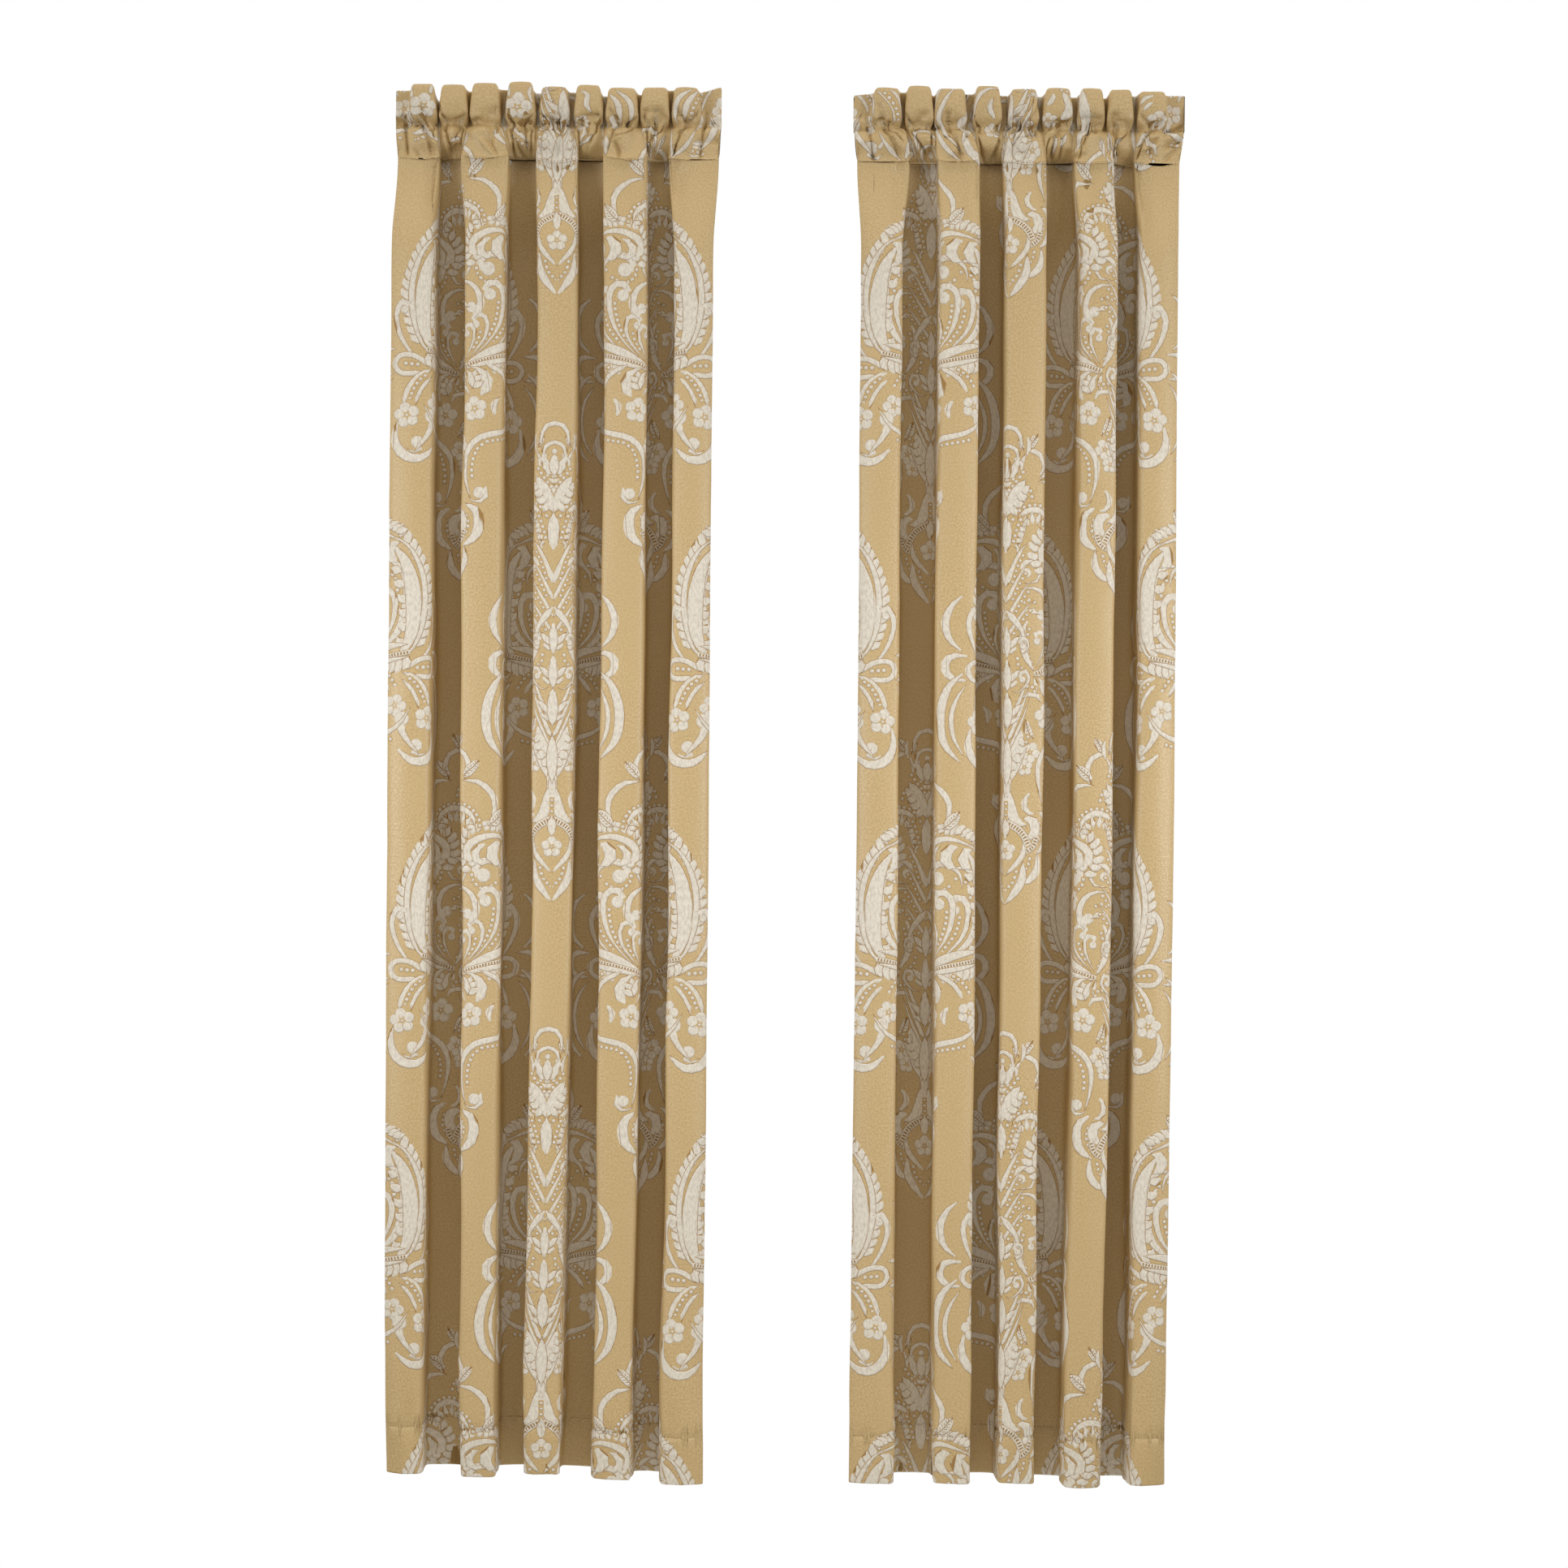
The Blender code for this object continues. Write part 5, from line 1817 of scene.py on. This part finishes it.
@dataclass(frozen=True)
class Figured:
    """Raised ivory figures, each with a fine brown edge line, over the satin ground: the line is partly the
    woven binding thread and partly painted shade along the raised edge.
    """

    ground: Satin = Satin()
    light: str = "E6DFD2"
    # shade is the ivory painted where its weave lies low: painted shade in its crinkles and ribs
    shade: str = "CEC4B4"
    # edge is the brown of each figure's outline: partly the woven binding thread, partly painted shade in
    # the recess along the raised edge
    edge: str = "A07C48"
    edge_width: float = 0.8
    pearl_pitch: float = 8.6

    def weave(self, board: Board) -> tuple[Signal, bpy.types.NodeSocket]:
        """The ivory weave: its height, and its colour, with painted shade where the weave lies low."""
        crimp = board.noise(board.cloth(1.0, 0.45), 3.4, 3.0)
        ribs = board.noise(board.cloth(0.35, 1.0), 0.9, 2.0)
        height = crimp * 0.6 + ribs * 0.4
        # The colour follows the height: the lower places get the shade colour, a painted shade.
        return height, board.blend(height.step(0.34, 0.62), linear(self.shade), linear(self.light))

    def dress(self, name: str, weave: Weave) -> bpy.types.Material:
        """Makes the material for one kind of figure.

        Args:
            name: its name.
            weave: the kind.

        Returns:
            The material.
        """
        board = Board(name)
        along, beside, half, inside = board.figure()
        ratio = beside / half.join("MAXIMUM", 0.1)
        grain = self.ground.grain_of(board)
        height, ivory = self.weave(board)
        raised = inside.step(0.3, 2.4)
        # A brown line just inside each figure's edge: partly woven binding, partly painted shade where the
        # raised figure meets the ground.
        line = 1.0 - inside.step(self.edge_width * 0.55, self.edge_width * 1.25)
        if weave is Weave.PEARLS:
            line, raised, ivory = self.pearls(board, along, beside, half, grain, ivory)
        elif weave is Weave.VEINED:
            line = line.join("MAXIMUM", self.veins(along, ratio, beside))
        elif weave is Weave.DASHED:
            dash = (along / 4.6).join("FRACT").step(0.5, 0.62)
            line = line.join("MAXIMUM", dash * (1.0 - ratio.step(0.42, 0.6)))
        relief = board.relief(raised * (1.0 - line * 0.6) + height * 0.35, 0.85)
        colour = board.blend(line, ivory, linear(self.edge))
        return board.shade(colour=colour, roughness=raised * 0.1 + 0.62, specular=0.3, normal=relief)

    def veins(self, along: Signal, ratio: Signal, beside: Signal) -> Signal:
        """A leaf's middle rib and its slanting veins."""
        rib = 1.0 - beside.step(0.35, 0.8)
        slant = ((along - beside * 0.9) / 5.2).join("FRACT").step(0.7, 0.82)
        return rib.join("MAXIMUM", slant * ratio.step(0.2, 0.3) * (1.0 - ratio.step(0.5, 0.62)))

    def pearls(
        self,
        board: Board,
        along: Signal,
        beside: Signal,
        half: Signal,
        grain: Signal,
        ivory: bpy.types.NodeSocket,
    ) -> tuple[Signal, Signal, bpy.types.NodeSocket]:
        """A string of round pearls on the ground: their edge rings, partly woven and partly painted shade
        round each pearl, their height and the colour.
        """
        near = ((along / self.pearl_pitch).join("FRACT") - 0.5) * self.pearl_pitch
        reach = (near * near + beside * beside).join("SQRT")
        size = half * 0.74
        outside = (reach - size).step(-0.35, 0.35)
        # A brown ring round each pearl: partly woven, partly painted shade where the pearl meets the ground.
        ring = (1.0 - (reach - size).join("ABSOLUTE").step(0.2, 0.9)) * 0.75
        raised = 1.0 - (reach / size).step(0.2, 1.05)
        return ring, raised, board.blend(outside, ivory, self.ground.colour(board, grain))


@dataclass(frozen=True)
class Reverse:
    """The reverse, where the loose threads of the face lie: plainer and duller."""

    light: str
    dark: str

    def dress(self, name: str) -> bpy.types.Material:
        """Makes the material."""
        board = Board(name)
        floats = board.noise(board.cloth(0.22, 1.0), 1.1, 3.0).step(0.34, 0.66)
        colour = board.blend(floats, linear(self.dark), linear(self.light))
        return board.shade(colour=colour, roughness=0.75, specular=0.25, normal=board.relief(floats, 0.25))


@dataclass(frozen=True)
class Thread:
    """Sewing thread, twisted: the thread's own colour darkened to paint the shade along the stitch lines,
    with the darker colour painted as shade in the twist's grooves.
    """

    # light and dark are the thread's colour darkened: painted shade of the stitch lines, the dark one
    # painted in the twist's grooves
    light: str = "A5824E"
    dark: str = "7C5E35"

    def dress(self, name: str) -> bpy.types.Material:
        """Makes the material."""
        board = Board(name)
        place = board.add("ShaderNodeTexCoord", {}, {}).outputs["Object"]
        twist = board.noise(place, 0.5, 2.0).step(0.35, 0.65)
        colour = board.blend(twist, linear(self.dark), linear(self.light))
        return board.shade(colour=colour, roughness=0.6, normal=board.relief(twist, 0.08))


def cloth_finishes() -> list[bpy.types.Material]:
    """The materials of a woven sheet, in the order of its slots."""
    figured = Figured()
    face = [Satin().dress("satin_ground")]
    for weave in (Weave.FIGURE, Weave.VEINED, Weave.PEARLS, Weave.DASHED):
        face.append(figured.dress(f"ivory_{weave.name.lower()}", weave))
    ground = Reverse("CDBB97", "B39C72").dress("reverse_ground")
    return [*face, ground, Reverse("A98A58", "8B6E42").dress("reverse_figure")]


# --- Stitches --------------------------------------------------------------------------


@dataclass
class StitchRow:
    """A row of machine stitches on a sheet, as one mesh."""

    name: str
    pitch: float = 4.6
    long: float = 3.3
    thick: float = 1.0
    places: list[FloatGrid] = field(default_factory=list)

    def sew(self, sheet: Sheet, line: FloatGrid) -> None:
        """Sews along a line of points on the flat cloth."""
        lengths = np.concatenate([[0.0], np.cumsum(np.linalg.norm(np.diff(line, axis=0), axis=1))])
        starts = np.arange(0.6, lengths[-1] - self.long, self.pitch)
        ends = []
        for at in (starts, starts + self.long):
            flat = np.stack([np.interp(at, lengths, line[:, axis]) for axis in range(2)], axis=1)
            ends.append(sheet.lay(flat, CLOTH_THICK / 2))
        (first, up), (second, _) = ends
        along = (second - first) / 2
        side = np.cross(up, along)
        side *= self.thick / 2 / np.linalg.norm(side, axis=1, keepdims=True)
        self.places.append(np.stack([along, side, up * self.thick * 0.35, (first + second) / 2], axis=1))

    def finish(self, material: bpy.types.Material) -> bpy.types.Object:
        """Makes the object: a copy of one small spindle at each place."""
        spindle = bmesh.new()
        turn = Matrix.Rotation(math.radians(90), 3, "Y")
        bmesh.ops.create_uvsphere(spindle, u_segments=5, v_segments=4, radius=1.0, matrix=turn.to_4x4())
        bmesh.ops.triangulate(spindle, faces=spindle.faces)
        shape = np.array([vert.co for vert in spindle.verts])
        faces = np.array([[vert.index for vert in face.verts] for face in spindle.faces])
        spindle.free()
        places = np.concatenate(self.places)
        points = np.einsum("va,nac->nvc", shape, places[:, :3]) + places[:, 3:]
        copies = faces[None] + (np.arange(len(places)) * len(shape))[:, None, None]
        data = bpy.data.meshes.new(self.name)
        data.from_pydata(points.reshape(-1, 3) * MM, [], copies.reshape(-1, 3))
        data.polygons.foreach_set("use_smooth", np.ones(len(data.polygons), bool))
        data.materials.append(material)
        return put_in(self.name, data)


# --- The pair --------------------------------------------------------------------------


@dataclass
class Curtain:
    """One curtain: its hanging panel and its gathered heading, each with its stitches."""

    hanging: Hanging
    face: Medallion
    plain: Medallion  # more simply drawn, for the reverse
    finishes: list[bpy.types.Material]
    thread: bpy.types.Material
    repeat: Repeat = Repeat()

    def figures(self, size: Box, reverse: bool) -> list[Motif]:
        """The figures on a piece of cloth; the reverse shows only the larger ones."""
        medallion = self.plain if reverse else self.face
        found = self.repeat.over(medallion, self.hanging.axis, size[:2], size[2:])
        if reverse:
            large = [motif for motif in found if motif.area() > REVERSE_AREA]
            found = [motif for motif in large if motif.weave is not Weave.PEARLS]
        return found

    def heading_figures(self, size: Box) -> list[Motif]:
        """The figures on the heading: the loops' own ones, and the repeat's on the rest."""
        found = self.figures(size, False)
        loops = self.hanging.loops_flat()
        for number, drawing in draw_loops(self.hanging.side).items():
            middle = sum(loops[number]) / 2
            kept = []
            for motif in found:
                away = np.abs(motif.outline - (middle, LOOP_PATCH_Z))
                if not np.any((away < LOOP_PATCH).all(axis=1)):
                    kept.append(motif)
            found = kept + [motif.placed(middle, HEADER_EDGE, 1) for motif in drawing.single]
        return found

    def panel_lines(self, size: Box) -> list[FloatGrid]:
        """The lines that the panel is divided along: its folds, and the turns of its hems."""
        hanging = self.hanging
        left, right, low, high = size
        heights = np.concatenate([np.linspace(low, -260, 44), np.arange(-226, high - 6, 9), [high]])
        lines = fold_lines(hanging, heights, (-6.5, 0.0, 6.5), 1)
        for edge, way in ((hanging.left_edge, -1), (hanging.right_edge, 1)):
            for past in (-25, -12, -5, -1.4, 0.0, 1.4, 5, 12):
                lines.append(np.stack([np.full(len(heights), edge + way * past), heights], axis=1))
        for past in (-3.4, -1.7, 0.1, 1.8, 3.5):
            lines.append(np.array([(left, hanging.hem_z - past), (right, hanging.hem_z - past)]))
        return lines

    def panel_spots(self, size: Box) -> FloatGrid:
        """Points that the panel's mesh has for its gathers and for the puckers at its hem."""
        hanging = self.hanging
        left, right = size[:2]
        across = np.arange(left + SIDE_HEM + 1.6, right - SIDE_HEM - 1, 6.8)
        edges = (hanging.left_edge, hanging.right_edge)
        behind = [2 * edge - across[np.abs(across - edge) < SIDE_HEM - 1] for edge in edges]
        rows = np.array([-34, -44, -57, -73, -92, -114, -140])
        gathers = grid_of(np.concatenate([across, *behind]), rows)
        rows = hanging.hem_z + BOTTOM_HEM + np.array([-7.8, -3.9, 0, 3.9, 7.8])
        return np.concatenate([gathers, grid_of(np.arange(left + 27, right - 26, 5.0), rows)])

    def hang_panel(self) -> bpy.types.Object:
        """Makes the hanging panel and its hem stitches."""
        hanging, side = self.hanging, self.hanging.side
        cloth = PanelCloth(hanging)
        edges = (hanging.left_edge, hanging.right_edge, hanging.hem_z, cloth.top)
        sheet = Sheet(f"{side}_damask_panel", cloth.surface(), edges, SIDE_HEM, BOTTOM_HEM)
        left, right, low, high = size = sheet.cut_size
        lines, spots = self.panel_lines(size), self.panel_spots(size)
        lanes = hanging.lanes_flat(MIDDLE_Z)
        figures = []
        for motif in self.figures(size, False):
            middle, height = motif.outline.mean(axis=0)
            if height < PLAIN_TOP_Z or lanes[0][1] < middle < lanes[8][0]:
                figures.append(motif)
        face = Cut(size, figures, lines, spots)
        back = Cut(size, self.figures(size, True), lines, spots)
        piece = self.dress(sheet.build(face, back))
        stitches = StitchRow(f"{side}_hem_stitches")
        seam = hanging.hem_z + BOTTOM_HEM - 1.0
        stitches.sew(sheet, np.array([(edges[0] + 2, seam), (edges[1] - 2, seam)]))
        sewn = stitches.finish(self.thread)
        for made in (piece, sewn):
            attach(made, BODY)
        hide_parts(f"{side}_panel")
        (right - left) * MM
        (high - low) * MM
        return piece

    def gather_heading(self) -> bpy.types.Object:
        """Makes the gathered heading and its two lines of stitches."""
        hanging, side = self.hanging, self.hanging.side
        surface = HeadingCloth(hanging).surface()
        low, high = surface.up[0], surface.up[-1]
        edges = (hanging.left_edge, hanging.right_edge, low, high)
        sheet = Sheet(f"{side}_gathered_heading", surface, edges)
        fine = grid_of(np.arange(edges[0] + 2, edges[1] - 1, 2.4), np.arange(low + 2, 97, 2.4))
        coarse = grid_of(np.arange(edges[0] + 3, edges[1] - 2, 4.2), np.arange(100, high - 2, 4.2))
        cut = Cut(edges, self.heading_figures(edges), [], np.concatenate([fine, coarse]), 1.0)
        piece = self.dress(sheet.build(cut, cut))
        stitches = StitchRow(f"{side}_heading_stitches")
        for height in STITCH_ROWS:
            stitches.sew(sheet, np.array([(edges[0] + 2, height), (edges[1] - 2, height)]))
        sewn = stitches.finish(self.thread)
        for made in (piece, sewn):
            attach(made, BODY)
        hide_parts(f"{side}_heading")
        (high - low) * MM
        return piece

    def dress(self, piece: bpy.types.Object) -> bpy.types.Object:
        """Gives a sheet its materials."""
        for material in self.finishes:
            piece.data.materials.append(material)
        return piece


# --- Studio ----------------------------------------------------------------------------


@dataclass(frozen=True)
class Studio:
    """A white studio: camera straight in front, soft lights and a pale floor."""

    distance: float = 4.339
    camera_x: float = 0.005
    camera_z: float = -0.985
    view: float = 31.12  # degrees
    roll: float = 0.45
    floor_z: float = -2.7
    panel_size: Pair = (1.4, 1.0)
    panel_spread: float = 70.0  # degrees
    panel_tint: str = "F8FAFF"
    low_glow: Colour = (0.11, 0.10, 0.08, 1.0)
    high_glow: Colour = (1.02, 0.98, 0.90, 1.0)

    def set_up(self) -> None:
        """Builds it all."""
        self.place_camera()
        self.light()
        self.lay_floor()
        bpy.context.scene.view_settings.view_transform = "Standard"

    def place_camera(self) -> None:
        """Adds the camera."""
        data = bpy.data.cameras.new("camera")
        data.sensor_fit = "HORIZONTAL"
        data.angle = math.radians(self.view)
        camera = put_in("camera", data)
        turn = Matrix.Rotation(math.radians(90), 4, "X") @ Matrix.Rotation(math.radians(self.roll), 4, "Z")
        camera.matrix_world = Matrix.Translation((self.camera_x, -self.distance, self.camera_z)) @ turn
        bpy.context.scene.camera = camera

    def light(self) -> None:
        """Adds the lights: soft from both sides, and all round, more from above than from below."""
        self.add_panel("right", (2.6, -1.9, -0.85), 7.6)
        self.add_panel("left", (-2.6, -1.9, -0.85), 7.0)
        world = bpy.data.worlds.new("studio")
        world.use_nodes = True
        nodes, links = world.node_tree.nodes, world.node_tree.links
        seen = nodes.new("ShaderNodeBackground")
        seen.inputs["Color"].default_value = (1.0, 1.0, 1.0, 1.0)
        glow = nodes["Background"]
        glow.inputs["Strength"].default_value = 1.0
        way, height = nodes.new("ShaderNodeTexCoord"), nodes.new("ShaderNodeSeparateXYZ")
        links.new(way.outputs["Generated"], height.inputs[0])
        sky = nodes.new("ShaderNodeMapRange")
        sky.inputs["From Min"].default_value, sky.inputs["From Max"].default_value = -0.6, 0.6
        links.new(height.outputs["Z"], sky.inputs["Value"])
        tone = nodes.new("ShaderNodeMix")
        tone.data_type = "RGBA"
        links.new(sky.outputs[0], tone.inputs[0])
        tone.inputs[6].default_value, tone.inputs[7].default_value = self.low_glow, self.high_glow
        links.new(tone.outputs[2], glow.inputs["Color"])
        path, choice = nodes.new("ShaderNodeLightPath"), nodes.new("ShaderNodeMixShader")
        links.new(path.outputs["Is Camera Ray"], choice.inputs[0])
        links.new(glow.outputs[0], choice.inputs[1])
        links.new(seen.outputs[0], choice.inputs[2])
        links.new(choice.outputs[0], nodes["World Output"].inputs["Surface"])
        bpy.context.scene.world = world

    def add_panel(self, name: str, place: tuple[float, float, float], power: float) -> None:
        """Adds a light panel that faces the middle of the pair.

        Args:
            name: its name.
            place: where it stands.
            power: its power in watts.
        """
        data = bpy.data.lights.new(name, "AREA")
        data.spread = math.radians(self.panel_spread)
        data.shape = "RECTANGLE"
        data.size, data.size_y = self.panel_size
        data.energy = power
        data.color = linear(self.panel_tint)[:3]
        aim = Vector((0.0, 0.0, -0.9)) - Vector(place)
        turn = aim.to_track_quat("-Z", "Y").to_matrix().to_4x4()
        put_in(name, data).matrix_world = Matrix.Translation(place) @ turn

    def lay_floor(self) -> None:
        """Adds the floor, with a soft edge that goes over into the white around it."""
        mesh = bmesh.new()
        place = Matrix.Translation((0.0, 0.1, self.floor_z))
        bmesh.ops.create_circle(mesh, cap_ends=True, segments=96, radius=1.35, matrix=place)
        data = bpy.data.meshes.new("floor")
        mesh.to_mesh(data)
        mesh.free()
        board = Board("pale_floor")
        centre = board.add("ShaderNodeTexCoord", {}, {}).outputs["Object"]
        flat = board.add("ShaderNodeVectorMath", {"operation": "MULTIPLY"}, {0: centre, 1: (1.0, 1.0, 0.0)})
        length = board.add("ShaderNodeVectorMath", {"operation": "LENGTH"}, {0: flat.outputs[0]})
        away = Signal(board, length.outputs["Value"])
        fade = 1.0 - away.step(0.55, 1.25)
        data.materials.append(board.shade(colour=linear("E9E7E3"), roughness=0.9, alpha=fade))
        floor = put_in("floor", data)


def plain(box: Iterable[Iterable[float]]) -> list[list[float]]:
    """A box as plain lists of numbers."""
    return [[float(value) for value in corner] for corner in box]


def main() -> None:
    """Builds the pair around the frame."""
    logging.basicConfig(level=logging.INFO, format="%(name)s: %(message)s")
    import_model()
    Studio().set_up()
    face, simple = Medallion(detail=0.76), Medallion(detail=0.42)
    face.draw()
    simple.draw()
    finishes, thread = cloth_finishes(), Thread().dress("sewing_thread_painted_shade")
    for hanging in (LEFT, RIGHT):
        curtain = Curtain(hanging, face, simple, finishes, thread)
        for piece in (curtain.gather_heading(), curtain.hang_panel()):
            LOG.info("%s is in place", piece.name)


if __name__ == "__main__":
    main()
